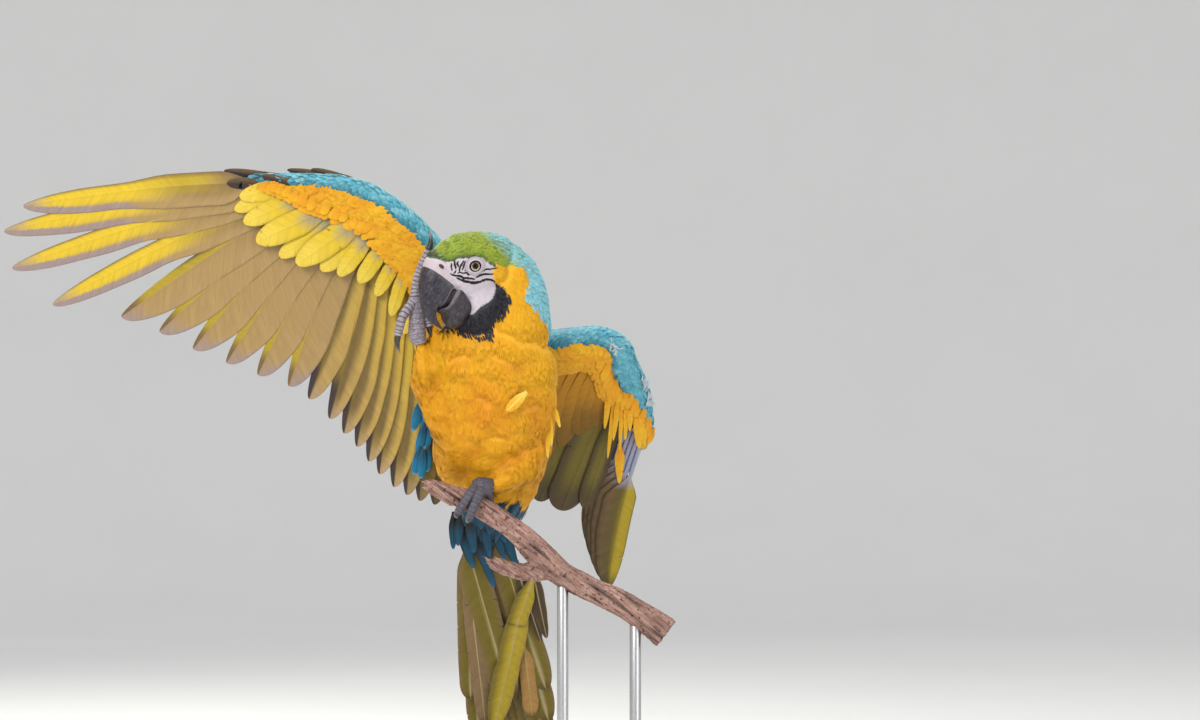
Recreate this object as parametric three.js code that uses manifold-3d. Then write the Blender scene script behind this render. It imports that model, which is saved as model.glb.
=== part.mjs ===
// A blue-and-yellow macaw, life size, perched on a short length of branch that a display stand holds.
// It stretches its right wing, half opens its left one, and scratches its face with its right foot.
// Millimetres, +Z up. The bird faces -Y and its right wing reaches towards -X. The origin is the middle
// of the stand's underside.
import * as THREE from "three";
import { mergeVertices } from "three/addons/utils/BufferGeometryUtils.js";
import Module from "manifold-3d";

const wasm = await Module();
wasm.setup();

// ---- Driving sizes ----
const PERCH_HEIGHT = 462; // level that the bird's own heights are counted from, just below its foot
const GAP = 0.3; // room between two pieces that meet
const VANE_THICKNESS = 0.65;

const HEAD_YAW = THREE.MathUtils.degToRad(65); // turned to its right, from facing -Y
const HEAD_PITCH = THREE.MathUtils.degToRad(17); // bill down
const EYE_RADIUS = 8.8;
const EYE_OUT = 21.7; // from the head's middle plane to the eye's centre
const EYE_TURN = 0.24; // how far each eye looks forward

const TAIL_LENGTHS = [205, 250, 300, 355, 420, 470]; // outermost feather to central one
const BRANCH_RADIUS = 12;
const BASE = { width: 320, depth: 250, thick: 18, corner: 26 };
const ROD_RADIUS = 6;
const ROD_PLACES = [66, 142];
const ROD_SINK = 60; // how far below PERCH_HEIGHT the rods end, inside the branch

// ---- Small helpers ----
const vec = (x, y, z) => new THREE.Vector3(x, y, z);
const at = (x, y, z) => vec(x, y, z + PERCH_HEIGHT);
const lerp = THREE.MathUtils.lerp;
const rad = THREE.MathUtils.degToRad;

// Value at t, from 0 to 1, of a smooth line through evenly spaced numbers.
function along(values, t) {
  const line = new THREE.CatmullRomCurve3(values.map((v) => vec(v, 0, 0)), false, "catmullrom");
  return line.getPoint(t).x;
}

// A closed geometry as a solid, turned so that its faces point out.
function solid(geometry) {
  const loose = geometry.index ? geometry.toNonIndexed() : geometry;
  const bare = new THREE.BufferGeometry().setAttribute("position", loose.getAttribute("position"));
  const merged = mergeVertices(bare, 1e-3);
  const vertProperties = merged.attributes.position.array;
  const triVerts = new Uint32Array(merged.index.array);
  const make = () => new wasm.Manifold(new wasm.Mesh({ numProp: 3, vertProperties, triVerts }));
  const made = make();
  if (made.volume() > 0) return made;
  for (let i = 0; i < triVerts.length; i += 3) {
    [triVerts[i + 1], triVerts[i + 2]] = [triVerts[i + 2], triVerts[i + 1]];
  }
  return make();
}

const union = (...solids) => wasm.Manifold.union(solids.flat(3));

// The largest closed piece of a solid.
function largest(made) {
  return made.decompose().reduce((a, b) => (b.volume() > a.volume() ? b : a));
}

// What is left of a solid once the pieces that it meets are cut away.
function clearOf(made, ...cutters) {
  return largest(cutters.flat(2).reduce((left, cutter) => left.subtract(cutter), made));
}

const ball = (centre, radius, detail = 12) =>
  solid(new THREE.SphereGeometry(radius, detail, Math.round(detail * 0.6)).translate(...centre.toArray()));

// A tube of oval sections through stations { at, wide, deep }. `side` is the way that `wide` is measured.
function loft(stations, { side = vec(1, 0, 0), around = 12, rings = 8, grow = 0 } = {}) {
  const spine = new THREE.CatmullRomCurve3(stations.map((s) => s.at));
  const sizes = new THREE.CatmullRomCurve3(stations.map((s) => vec(s.wide + grow, s.deep + grow, 0)));
  const shape = new THREE.CylinderGeometry(1, 1, 1, around, rings);
  const position = shape.getAttribute("position");
  for (let i = 0; i < position.count; i++) {
    const t = 0.5 - position.getY(i);
    const tangent = spine.getTangent(t);
    const deepWay = vec().crossVectors(tangent, side).normalize();
    const wideWay = vec().crossVectors(deepWay, tangent);
    const size = sizes.getPoint(t);
    const point = spine.getPoint(t);
    point.addScaledVector(wideWay, position.getX(i) * size.x);
    point.addScaledVector(deepWay, position.getZ(i) * size.y);
    position.setXYZ(i, point.x, point.y, point.z);
  }
  return solid(shape);
}

// A solid between two edges in the head's middle plane, as wide as `width(t)` says: a horn or a bill.
function keel(outer, inner, width, { around = 12, rings = 10, frame, grow = 0 }) {
  const top = new THREE.CatmullRomCurve3(outer.map(([x, z]) => vec(x, 0, z)));
  const bottom = new THREE.CatmullRomCurve3(inner.map(([x, z]) => vec(x, 0, z)));
  const shape = new THREE.CylinderGeometry(1, 1, 1, around, rings);
  const position = shape.getAttribute("position");
  for (let i = 0; i < position.count; i++) {
    const t = 0.5 - position.getY(i);
    const a = top.getPoint(t);
    const b = bottom.getPoint(t);
    const middle = a.clone().add(b).multiplyScalar(0.5);
    const half = a.clone().sub(b).multiplyScalar(0.5);
    half.setLength(half.length() + grow);
    middle.addScaledVector(half, position.getZ(i));
    middle.y = position.getX(i) * (width(t) + grow);
    middle.applyMatrix4(frame);
    position.setXYZ(i, middle.x, middle.y, middle.z);
  }
  return solid(shape);
}

// ---- Frames of the head and of the wings ----
const HEAD_CENTRE = at(-36, -70, 247);
const headForward = vec(
  -Math.sin(HEAD_YAW) * Math.cos(HEAD_PITCH),
  -Math.cos(HEAD_YAW) * Math.cos(HEAD_PITCH),
  -Math.sin(HEAD_PITCH),
);
const headLeft = vec(Math.cos(HEAD_YAW), -Math.sin(HEAD_YAW), 0);
const headUp = vec().crossVectors(headForward, headLeft);
const HEAD_FRAME = new THREE.Matrix4().makeBasis(headForward, headLeft, headUp).setPosition(HEAD_CENTRE);
const inHead = (x, y, z) => vec(x, y, z).applyMatrix4(HEAD_FRAME);

// A wing's plane: `out` from the shoulder to the tip, `back` to the feather tips, `under` out of its underside.
// `bend` is how far a point is moved out of it, behind the line `flat` mm back from the shoulder.
function wingPlane(shoulder, outward, backward, hand, flat = 1e4) {
  const back = backward.clone().normalize();
  const out = outward.clone().addScaledVector(back, -outward.dot(back)).normalize();
  const under = vec().crossVectors(out, back).multiplyScalar(hand);
  return {
    out,
    back,
    under,
    hand,
    bend: (point) => CAMBER * Math.max(0, point.clone().sub(shoulder).dot(back) - flat) ** 2,
    point: (a, b, c = 0) =>
      shoulder.clone().addScaledVector(out, a).addScaledVector(back, b).addScaledVector(under, c),
  };
}
const RIGHT = wingPlane(at(-58, 12, 191), vec(-0.993, 0.12, 0), vec(0, 0.17, -0.985), 1, 0);
const LEFT = wingPlane(at(54, 12, 173), vec(0.97, 0.24, 0), vec(0, 0.57, -0.82), -1, 120);

// ---- Torso, neck and head ----
const TORSO = [
  { at: at(-6, -32, 205), wide: 30, deep: 28 },
  { at: at(-8, -32, 186), wide: 55, deep: 45 },
  { at: at(-12, -28, 157), wide: 70, deep: 56 },
  { at: at(-14, -18, 121), wide: 77, deep: 62 },
  { at: at(-13, -3, 84), wide: 75, deep: 62 },
  { at: at(-10, 12, 47), wide: 66, deep: 56 },
  { at: at(-9, 25, 16), wide: 53, deep: 47 },
  { at: at(-13, 36, -12), wide: 38, deep: 34 },
  { at: at(-19, 46, -38), wide: 24, deep: 19 },
];
const NECK = [
  { at: at(-10, -30, 160), wide: 54, deep: 42 },
  { at: at(1, -34, 191), wide: 58, deep: 45 },
  { at: at(6, -38, 213), wide: 48, deep: 40 },
  { at: at(4, -43, 232), wide: 41, deep: 36 },
  { at: at(-2, -48, 248), wide: 34, deep: 32 },
  { at: at(-8, -53, 260), wide: 26, deep: 26 },
  { at: at(-12, -56, 268), wide: 16, deep: 17 },
];
const SKULL = [
  { at: inHead(-54, 0, -4), wide: 11, deep: 12 },
  { at: inHead(-47, 0, -3), wide: 20, deep: 21 },
  { at: inHead(-35, 0, -3), wide: 27, deep: 29 },
  { at: inHead(-20, 0, -3.6), wide: 30.5, deep: 34.5 },
  { at: inHead(-2, 0, -4.4), wide: 29, deep: 38 },
  { at: inHead(14, 0, -4.8), wide: 25, deep: 37.5 },
  { at: inHead(27, 0, -1.7), wide: 20, deep: 31.8 },
  { at: inHead(36, 0, 0.6), wide: 16.5, deep: 22.6 },
  { at: inHead(41, 0, 1.2), wide: 14.5, deep: 18.5 },
];
const CHIN = [
  { at: inHead(-20, 0, -34), wide: 22, deep: 18 },
  { at: inHead(-8, 0, -44), wide: 27, deep: 27 },
  { at: inHead(6, 0, -49), wide: 25, deep: 28 },
  { at: inHead(16, 0, -48), wide: 19, deep: 20 },
  { at: inHead(20, 0, -47), wide: 12, deep: 13 },
];

const fleshOf = (grow) => ({
  torso: loft(TORSO, { around: 20, rings: 16, grow }),
  neck: loft(NECK, { around: 16, rings: 7, grow }),
  skull: loft(SKULL, { side: headLeft, around: 16, rings: 11, grow }),
  chin: loft(CHIN, { side: headLeft, around: 14, rings: 5, grow }),
});

// The bill, in the head's frame: x forward and z up from the point between the eyes.
const CULMEN = [[37, 16], [46, 9.5], [54, -5], [58, -20], [58.8, -34], [54.4, -47], [44.2, -58.2]];
const TOMIUM = [[20, -15], [28, -20.5], [34.5, -27], [39.5, -31.5], [45.2, -34.4], [48, -44], [44, -57]];
const GONYS = [[8, -49], [17, -55.5], [25.5, -60], [33.5, -60.5], [39.5, -56.5], [43.5, -49]];
const LOWER_EDGE = [[14, -22], [22, -24], [29, -32], [35, -36.5], [40, -37.5], [44, -38]];
const upperWidth = (t) => along([17, 16.8, 15.5, 13, 9.5, 5.5, 1.2], t);
const lowerWidth = (t) => along([16.5, 16, 14, 11, 8.5, 7], t);
const upperBill = (grow) => keel(CULMEN, TOMIUM, upperWidth, { around: 12, rings: 11, frame: HEAD_FRAME, grow });
const lowerBill = (grow) => keel(GONYS, LOWER_EDGE, lowerWidth, { around: 10, rings: 7, frame: HEAD_FRAME, grow });

function headParts() {
  const eyes = [1, -1].map((side) => inHead(-0.8, side * EYE_OUT, -2.9));
  const lids = eyes.map((centre, i) => {
    const out = headForward.clone().multiplyScalar(EYE_TURN).addScaledVector(headLeft, i ? -1 : 1).normalize();
    const ring = new THREE.TorusGeometry(EYE_RADIUS * 0.77, 1.5, 5, 14);
    ring.applyQuaternion(new THREE.Quaternion().setFromUnitVectors(vec(0, 0, 1), out));
    return solid(ring.translate(...centre.clone().addScaledVector(out, EYE_RADIUS * 0.75).toArray()));
  });
  const nostrils = [1, -1].map((side) => ball(inHead(32.4, side * 16.4, 6.3), 3, 8));
  const sockets = eyes.map((centre) => ball(centre, EYE_RADIUS + GAP, 14));
  return { eyes: eyes.map((centre) => ball(centre, EYE_RADIUS, 14)), lids, nostrils, sockets };
}

// ---- Feathers ----
const CAMBER = 0.0003; // how fast a wing bends towards its underside, behind its arm
const LAYER = 1.35; // step from one vane to the neighbour that lies over it
const FLIGHT = { steps: [0, 0.12, 0.4, 0.8, 0.95, 1], shape: [0.16, 0.6, 1, 0.98, 0.66, 0.2] };
const FINGER = { steps: [0, 0.12, 0.36, 0.6, 0.9, 1], shape: [0.16, 0.55, 1, 0.76, 0.44, 0.1] };
const COVERT = { steps: [0, 0.45, 0.86, 1], shape: [0.4, 1, 0.78, 0.3] };

// One feather as a thin blade, with both faces cut into triangles alike. `face` is the way its face looks,
// `side` the way to its trailing edge, `front` and `back` its vanes' widths, and `spacing` how far it lies
// from its neighbour at root and tip, which sets how steeply it tilts to pass under that one.
function vane({ root, tip, face, side, front, back, spacing, form = FLIGHT, bow = 0, bend, lift = [0, 0] }) {
  const reach = tip.clone().sub(root);
  const points = form.steps.flatMap((t, i) => {
    const tilt = Math.asin(Math.min(0.32, LAYER / lerp(spacing[0], spacing[1], t)));
    const across = side.clone().multiplyScalar(Math.cos(tilt)).addScaledVector(face, Math.sin(tilt));
    const centre = root.clone().addScaledVector(reach, t).addScaledVector(side, -bow * 4 * t * (1 - t));
    centre.addScaledVector(face, lerp(lift[0], lift[1], Math.min(1, t / 0.4)));
    return [-front, back].flatMap((width) => {
      const edge = centre.clone().addScaledVector(across, width * form.shape[i]);
      edge.addScaledVector(face, bend(edge));
      return [0.5, -0.5].map((half) => edge.clone().addScaledVector(face, half * VANE_THICKNESS));
    });
  });
  const faces = [];
  const quad = (p, q, r, s) => faces.push(p, q, r, q, s, r);
  for (let near = 0, far = 4; far < points.length; near += 4, far += 4) {
    quad(near, near + 2, far, far + 2);
    faces.push(near + 1, far + 1, near + 3, near + 3, far + 1, far + 3);
    quad(near, far, near + 1, far + 1);
    quad(far + 2, near + 2, far + 3, near + 3);
  }
  const last = points.length - 4;
  quad(2, 0, 3, 1);
  quad(last, last + 2, last + 1, last + 3);
  const geometry = new THREE.BufferGeometry().setFromPoints(points);
  geometry.setIndex(faces);
  return solid(geometry);
}

// How far point p lies from the line through a and b.
function offLine(p, a, b) {
  const way = b.clone().sub(a).normalize();
  return vec().crossVectors(p.clone().sub(a), way).length();
}

// The vanes of a row of feathers. `level` lifts a feather out of the wing's plane, and what that leaves of
// the step to its neighbour comes from its tilt.
function vanes(row, plane, options = {}) {
  return row.map((feather, i) => {
    const level = feather.level ?? 0;
    const [one, next] = i + 1 < row.length ? [feather, row[i + 1]] : [row[i - 1], feather];
    const step = Math.max(0.02, 1 - ((one.level ?? 0) - (next.level ?? 0)) / LAYER);
    const spacing = [
      Math.max(2.5, offLine(next.root, one.root, one.tip)) / step,
      Math.max(6, offLine(next.tip, one.root, one.tip)) / step,
    ];
    const way = feather.tip.clone().sub(feather.root).normalize();
    const side = vec().crossVectors(plane.under, way).multiplyScalar(plane.hand);
    return vane({ face: plane.under, side, spacing, bend: plane.bend, lift: [level, level], ...feather, ...options });
  });
}

// ---- Wings ----
const RIGHT_ARM = [
  [-14, 14, 26, 15],
  [8, -40, 30, 15],
  [40, -81, 30, 12],
  [74, -112, 27, 10],
  [106, -128, 24, 8.5],
  [150, -138, 17, 6.5],
  [196, -145, 9, 4.5],
  [214, -146, 4, 2.5],
];
const LEFT_ARM = [
  [-22, 18, 25, 15],
  [14, 20, 27, 15],
  [44, 19, 25, 12],
  [65, 28, 22, 10],
  [77, 50, 19, 10],
  [90, 84, 15, 8.5],
  [99, 122, 11.5, 7],
  [102, 156, 8, 5],
  [101, 186, 5, 2.8],
  [101, 205, 2.5, 1.6],
];
const armStations = (plane, stations) =>
  stations.map(([a, b, wide, deep]) => ({ at: plane.point(a, b), wide, deep }));
const armOf = (plane, stations, grow = 0) => {
  const placed = armStations(plane, stations);
  // `deep` is measured out of the wing's plane, so the side way is the plane's normal.
  const turned = placed.map((s) => ({ at: s.at, wide: s.deep, deep: s.wide }));
  return loft(turned, { side: plane.under, around: 8, rings: 11, grow });
};

// A row of quills whose roots and tips lie on lines through [a, b] points of the wing's plane.
function quills(plane, count, roots, tips, shape) {
  const line = (points) => new THREE.CatmullRomCurve3(points.map(([a, b]) => vec(a, b, 0)));
  const [rootLine, tipLine] = [line(roots), line(tips)];
  return Array.from({ length: count }, (_, i) => {
    const t = (i + 0.5) / count;
    const [from, to] = [rootLine.getPoint(t), tipLine.getPoint(t)];
    return { root: plane.point(from.x, from.y), tip: plane.point(to.x, to.y), ...shape };
  });
}

// The right wing's flight feathers: the way each points, in degrees from `out` towards `back`, and its
// length, from the outermost inwards.
const PRIMARY_LENGTHS = [258, 294, 306, 289, 238, 222, 215, 209, 206, 205];
const PRIMARY_ANGLES = [6.4, 10.5, 17.2, 26, 34.8, 42, 49.5, 56.9, 63.8, 70.5];
const SECONDARY_LENGTHS = [209, 218, 224, 229, 236, 241, 246, 246, 244, 240];
const SECONDARY_ANGLES = [74.6, 79.2, 81.6, 83.4, 84.9, 86, 88, 89.5, 91, 93];
const RIGHT_HAND = [205, -144];
const RIGHT_WRIST = [97, -115];
const RIGHT_ELBOW = [21, -36];
const PRIMARY = { front: 12, back: 24 };
const SECONDARY = { front: 15, back: 23 };
const TERTIAL = { front: 18, back: 20 };
const FLANK = { front: 12, back: 12, form: COVERT };
const NO_TILT = { spacing: [1e4, 1e4] };
const FINGERS = 4; // outer primaries that narrow towards their tips
const FINGER_BOW = 5; // how far their middles lie in front of a straight line

// How far out of the wing's plane each feather of a row lies: the outermost one, and the step to the next.
const PRIMARY_LEVELS = [2.7, -0.6];
const SECONDARY_LEVELS = [-3.9, 0.33];
const TERTIAL_LEVELS = [-4.4, -1.2];
const FLANK_LEVELS = [3.8, 1.2];
const layered = (row, [first, step]) => row.map((feather, i) => ({ ...feather, level: first + step * i }));

function rightFlight() {
  const row = (from, to, lengths, angles, shape) =>
    lengths.map((length, i) => {
      const t = (i + 0.5) / lengths.length;
      const [a, b] = [lerp(from[0], to[0], t), lerp(from[1], to[1], t)];
      const angle = rad(angles[i]);
      const tip = RIGHT.point(a + length * Math.cos(angle), b + length * Math.sin(angle));
      return { root: RIGHT.point(a, b), tip, ...shape };
    });
  const primaries = row(RIGHT_HAND, RIGHT_WRIST, PRIMARY_LENGTHS, PRIMARY_ANGLES, PRIMARY).map((feather, i) =>
    i < FINGERS ? { ...feather, form: FINGER, bow: FINGER_BOW } : feather,
  );
  const secondaries = row(RIGHT_WRIST, RIGHT_ELBOW, SECONDARY_LENGTHS, SECONDARY_ANGLES, SECONDARY);
  const tertials = quills(RIGHT, 2, [[20, -30], [2, -4]], [[20, 186], [0, 150]], { ...TERTIAL, ...NO_TILT });
  const flank = quills(RIGHT, 2, [[12, -4], [6, 6]], [[24, 172], [20, 122]], { ...FLANK, ...NO_TILT });
  return [
    layered(primaries, PRIMARY_LEVELS),
    layered(secondaries, SECONDARY_LEVELS),
    layered(tertials, TERTIAL_LEVELS),
    layered(flank, FLANK_LEVELS),
  ];
}

// Coverts in tiers: how many lie under and over the wing, and how far out of its plane they lie.
const RIGHT_TIERS = [
  {
    under: 12,
    over: 10,
    roots: [[206, -144], [150, -133], [97, -113], [55, -74], [21, -36], [4, -10]],
    tips: [[228, -116], [203, -80], [160, -52], [110, -40], [70, -18], [40, 14], [14, 50]],
    width: 12.5,
    lift: 6.2,
    sink: -6.2,
  },
  {
    under: 9,
    over: 8,
    roots: [[206, -147], [150, -139], [95, -122], [50, -86], [12, -44], [-4, -14]],
    tips: [[222, -131], [180, -104], [150, -90], [105, -76], [60, -46], [30, -10], [4, 20]],
    width: 14,
    lift: 9,
    sink: -9,
  },
  {
    under: 7,
    over: 0,
    roots: [[200, -149], [150, -144], [93, -132], [42, -98], [4, -54], [-12, -20]],
    tips: [[205, -138], [165, -120], [135, -112], [92, -100], [48, -66], [16, -28], [-6, 0]],
    width: 14,
    lift: 11.4,
    sink: -11.4,
  },
];

// The left wing is half open and hangs, so its primaries lie bunched and its secondaries fan out.
const LEFT_PRIMARY_LEVELS = [4.6, -1.15];
const LEFT_SECONDARY_LEVELS = [-7.6, 0.35];
function leftFlight() {
  const primaries = quills(LEFT, 7, [[103, 124], [92, 62]], [[72, 338], [62, 322], [42, 284]], PRIMARY);
  const secondaries = quills(LEFT, 8, [[84, 52], [60, 38], [24, 56]], [[58, 205], [32, 232], [-14, 216]], SECONDARY);
  return [layered(primaries, LEFT_PRIMARY_LEVELS), layered(secondaries, LEFT_SECONDARY_LEVELS)];
}
const LEFT_TIERS = [
  {
    under: 7,
    over: 7,
    roots: [[98, 146], [92, 112], [80, 70], [48, 38], [8, 36]],
    tips: [[82, 214], [60, 178], [38, 152], [14, 134], [-14, 124]],
    width: 14,
    lift: 8.6,
    sink: -15.4,
  },
  {
    under: 6,
    over: 6,
    roots: [[100, 120], [92, 84], [74, 44], [44, 24], [4, 24]],
    tips: [[90, 164], [74, 126], [50, 104], [22, 90], [-14, 84]],
    width: 16,
    lift: 11.8,
    sink: -18.4,
  },
];

const COVERT_RISE = 0.45; // how much of its tip's lift a covert's root has

// A whole wing: arm, flight feathers and coverts on both sides.
function wing(plane, arm, flight, tiers) {
  const coverts = tiers.flatMap(({ under, over, roots, tips, width, lift, sink }) =>
    [[under, lift], [over, sink]].map(([count, height]) => {
      const row = quills(plane, count, roots, tips, { form: COVERT, front: width, back: width });
      return vanes(row, plane, { lift: [height * COVERT_RISE, height] });
    }),
  );
  return union(armOf(plane, arm), flight.map((row) => vanes(row, plane)), coverts);
}

// ---- Tail ----
const TAIL = wingPlane(at(-20, 48, -44), vec(1, 0, 0.142), vec(0.12, 0.52, -0.845), -1);
const TAIL_FAN = [0.8, 7.5]; // degrees from the middle line, central and outermost feather
const TAIL_ROOTS = [2.5, 15]; // mm from the middle line
const TAIL_LAYER = 1.15;

function tailFeathers() {
  return TAIL_LENGTHS.flatMap((length, i) => {
    const outness = 1 - i / (TAIL_LENGTHS.length - 1);
    return [1, -1].map((way, k) => {
      const angle = way * rad(lerp(TAIL_FAN[0], TAIL_FAN[1], outness));
      const a = way * lerp(TAIL_ROOTS[0], TAIL_ROOTS[1], outness);
      const level = (5.5 - 2 * i - k) * TAIL_LAYER;
      const tip = TAIL.point(a + length * Math.sin(angle), length * Math.cos(angle), level);
      const side = TAIL.out.clone().multiplyScalar(-way);
      const flat = { face: TAIL.under, side, bend: TAIL.bend, ...NO_TILT };
      return vane({ root: TAIL.point(a, -6, level), tip, front: 13, back: 17, ...flat });
    });
  });
}
const TAIL_CORE = [
  { at: TAIL.point(0, -22), wide: 27, deep: 21 },
  { at: TAIL.point(0, 0), wide: 25, deep: 17 },
  { at: TAIL.point(0, 30), wide: 23, deep: 12 },
  { at: TAIL.point(0, 58), wide: 19, deep: 8.5 },
  { at: TAIL.point(0, 80), wide: 12, deep: 7 },
];
// Long coverts under and over the tail's root.
const TAIL_TIERS = [
  { count: 5, roots: [[-19, 14], [0, 20], [19, 14]], tips: [[-36, 92], [-4, 118], [30, 96]], lift: [8, 11] },
  { count: 4, roots: [[-20, -8], [0, -4], [20, -8]], tips: [[-31, 44], [-2, 66], [26, 48]], lift: [12, 15] },
  { count: 4, roots: [[-18, 10], [0, 14], [18, 10]], tips: [[-26, 66], [0, 96], [26, 66]], lift: [-7, -10.5] },
];
const tailCoverts = () =>
  TAIL_TIERS.flatMap(({ count, roots, tips, lift }) =>
    vanes(quills(TAIL, count, roots, tips, { form: COVERT, front: 13, back: 13 }), TAIL, { lift }),
  );

// ---- Branch ----
const BRANCH_DEPTH = -46; // in front of the tail, under the foot
const branchAt = (x, z, radius, y = BRANCH_DEPTH) => ({ at: at(x, y, z), wide: radius, deep: radius });
const BRANCH = [
  branchAt(-73, 15, 8),
  branchAt(-53, 7, 10.5),
  branchAt(-28, -3, 11.5),
  branchAt(0, -19, BRANCH_RADIUS),
  branchAt(21, -36, 13),
  branchAt(42, -56, 15, -45),
  branchAt(65, -77, 14.5, -44),
  branchAt(95, -93, 13),
  branchAt(126, -107, 14),
  branchAt(158, -127, 16),
  branchAt(174, -139, 17),
];
const STUB = [
  branchAt(50, -72, 12),
  branchAt(30, -75, 10),
  branchAt(10, -72, 8.5, -49),
  branchAt(-8, -64, 7, -52),
];
// Splinters stand out of the two broken ends. Their lengths are counted in the end's radius.
const SPLINTER_LENGTHS = [1.9, 1.4, 1.6, 1.1];
const SPLINTER_TURN = 1.7; // radians from one splinter to the next
const splinters = (end, way, radius) =>
  SPLINTER_LENGTHS.map((reach, i) => {
    const turn = (i + 0.4) * SPLINTER_TURN;
    const length = radius * reach;
    const cone = new THREE.ConeGeometry(radius * 0.42, length, 5).translate(0, length * 0.3, 0);
    cone.applyQuaternion(new THREE.Quaternion().setFromUnitVectors(vec(0, 1, 0), way.clone().normalize()));
    const off = vec(0, Math.cos(turn), Math.sin(turn)).multiplyScalar(radius * 0.5);
    return solid(cone.translate(...end.clone().add(off).toArray()));
  });
const branchSolid = (grow) =>
  union(
    loft(BRANCH, { side: vec(0, 1, 0), around: 10, rings: 20, grow }),
    loft(STUB, { side: vec(0, 1, 0), around: 8, rings: 6, grow }),
    grow ? [] : splinters(BRANCH[0].at, vec(-0.93, 0, 0.37), 8),
    grow ? [] : splinters(STUB[3].at, vec(-0.9, -0.1, 0.4), 7),
  );

// ---- Feet ----
const TOE_RADIUS = 5.4;
const TOE_TAPER = 0.78; // a toe's end is this much of its root
const CLAW_LENGTH = 17;
const CLAW_STATIONS = [
  { t: 0, wide: 3.4, deep: 3.6 },
  { t: 0.35, wide: 2.8, deep: 3 },
  { t: 0.7, wide: 1.8, deep: 2 },
  { t: 1, wide: 0.5, deep: 0.6 },
];
const TOE_SIDE = vec(0.31, 0.2, 0.93);
// A toe: a tube through points, thinner towards its tip.
const toe = (points, radius = TOE_RADIUS, grow = 0) =>
  loft(
    points.map((point, i) => {
      const size = lerp(radius, radius * TOE_TAPER, i / (points.length - 1));
      return { at: point, wide: size, deep: size };
    }),
    { side: TOE_SIDE, around: 7, rings: 7, grow },
  );
// A claw: a curved tapering tube from `root`, leaving it along `way` and bending towards `bend`.
const claw = (root, way, bend) => {
  const stations = CLAW_STATIONS.map(({ t, wide, deep }) => {
    const point = root.clone().addScaledVector(way, CLAW_LENGTH * t * (1 - 0.25 * t));
    return { at: point.addScaledVector(bend, CLAW_LENGTH * 0.55 * t * t), wide, deep };
  });
  return loft(stations, { side: TOE_SIDE, around: 6, rings: 5 });
};

// The left foot grips the branch: toes wrap round it, two over the front and two over the back.
const GRIP_AXIS = vec(0.93, 0, -0.37).normalize();
const GRIP_UP = vec(0.37, 0, 0.93).normalize();
const GRIP_CENTRE = at(-27, BRANCH_DEPTH, -3.5);
function gripPoint(angle, slide, radius) {
  const front = vec(0, -1, 0);
  return GRIP_CENTRE.clone()
    .addScaledVector(GRIP_UP, Math.cos(angle) * radius)
    .addScaledVector(front, Math.sin(angle) * radius)
    .addScaledVector(GRIP_AXIS, slide);
}
const LEFT_TOES = [
  { name: "outer_front", sweep: 152, slide: [1, 1] },
  { name: "inner_front", sweep: 140, slide: [-4, -12] },
  { name: "outer_back", sweep: -104, slide: [6, 20] },
  { name: "inner_back", sweep: -72, slide: [-2, -9] },
];
const TOE_STEPS = [0, 0.2, 0.4, 0.6, 0.8, 1];
const CLAW_GRIP = 11.5 + TOE_RADIUS + GAP;

const RIGHT_TOES = [
  { name: "outer_front", points: [[-88, -45, 209], [-91, -45, 222], [-89, -45, 236], [-83, -46, 249], [-74, -46, 262]] },
  { name: "inner_front", points: [[-89, -48, 208], [-95, -53, 201], [-101, -57, 191], [-104, -58, 180], [-106, -58, 172]] },
  { name: "outer_back", points: [[-86, -44, 208], [-80, -41, 200], [-76, -40, 189], [-74, -41, 181]] },
  { name: "inner_back", points: [[-86, -42, 210], [-78, -37, 216], [-71, -34, 219]] },
];

// ---- Nodes ----
const materials = {
  yellow: [0.95, 0.6, 0.03, 0.75],
  blue: [0.06, 0.42, 0.66, 0.6],
  green: [0.45, 0.55, 0.12, 0.75],
  black: [0.06, 0.06, 0.07, 0.4],
  grey: [0.33, 0.31, 0.35, 0.7],
  eye: [0.75, 0.7, 0.5, 0.1],
  wood: [0.42, 0.25, 0.2, 0.85],
  stand: [0.16, 0.15, 0.14, 0.5],
  steel: [0.6, 0.6, 0.6, 0.3],
};
const finish = (name) => {
  const [r, g, b, roughness] = materials[name];
  const metalness = name === "steel" ? 1 : 0;
  return new THREE.MeshStandardMaterial({ color: new THREE.Color(r, g, b), roughness, metalness });
};
const macaw = new THREE.Group();
function add(name, made, look) {
  const mesh = made.getMesh();
  const geometry = new THREE.BufferGeometry();
  geometry.setAttribute("position", new THREE.BufferAttribute(mesh.vertProperties, mesh.numProp));
  geometry.setIndex(new THREE.BufferAttribute(mesh.triVerts, 1));
  geometry.computeVertexNormals();
  const piece = new THREE.Mesh(geometry, finish(look));
  piece.name = name;
  macaw.add(piece);
}

const flesh = fleshOf(0);
const fleshRoom = fleshOf(GAP);
const head = headParts();
const branch = branchSolid(0);
const branchRoom = branchSolid(GAP);

// Body, neck and head are one form, parted by thin cuts.
const headWay = vec(-0.6, -0.42, 0.68).normalize();
const headLevel = at(-2, -52, 228).dot(headWay);
const neckTop = (neck, offset) => neck.trimByPlane(headWay.toArray(), headLevel - offset);
const neckBelow = flesh.neck.trimByPlane(headWay.clone().negate().toArray(), -headLevel + GAP);
const headRoom = union(fleshRoom.skull, fleshRoom.chin, neckTop(fleshRoom.neck, GAP));
const birdRoom = union(fleshRoom.torso, fleshRoom.neck, fleshRoom.skull, fleshRoom.chin);
const billUpper = largest(upperBill(0));
const billLower = clearOf(lowerBill(0), upperBill(GAP));
const headWhole = union(flesh.skull, flesh.chin, neckTop(flesh.neck, 0), head.lids);
const billRoom = union(upperBill(GAP), lowerBill(GAP));
const headPiece = clearOf(headWhole, head.sockets, head.nostrils, billRoom);
const body = union(flesh.torso, neckBelow).subtract(headRoom).subtract(billRoom);
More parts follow.
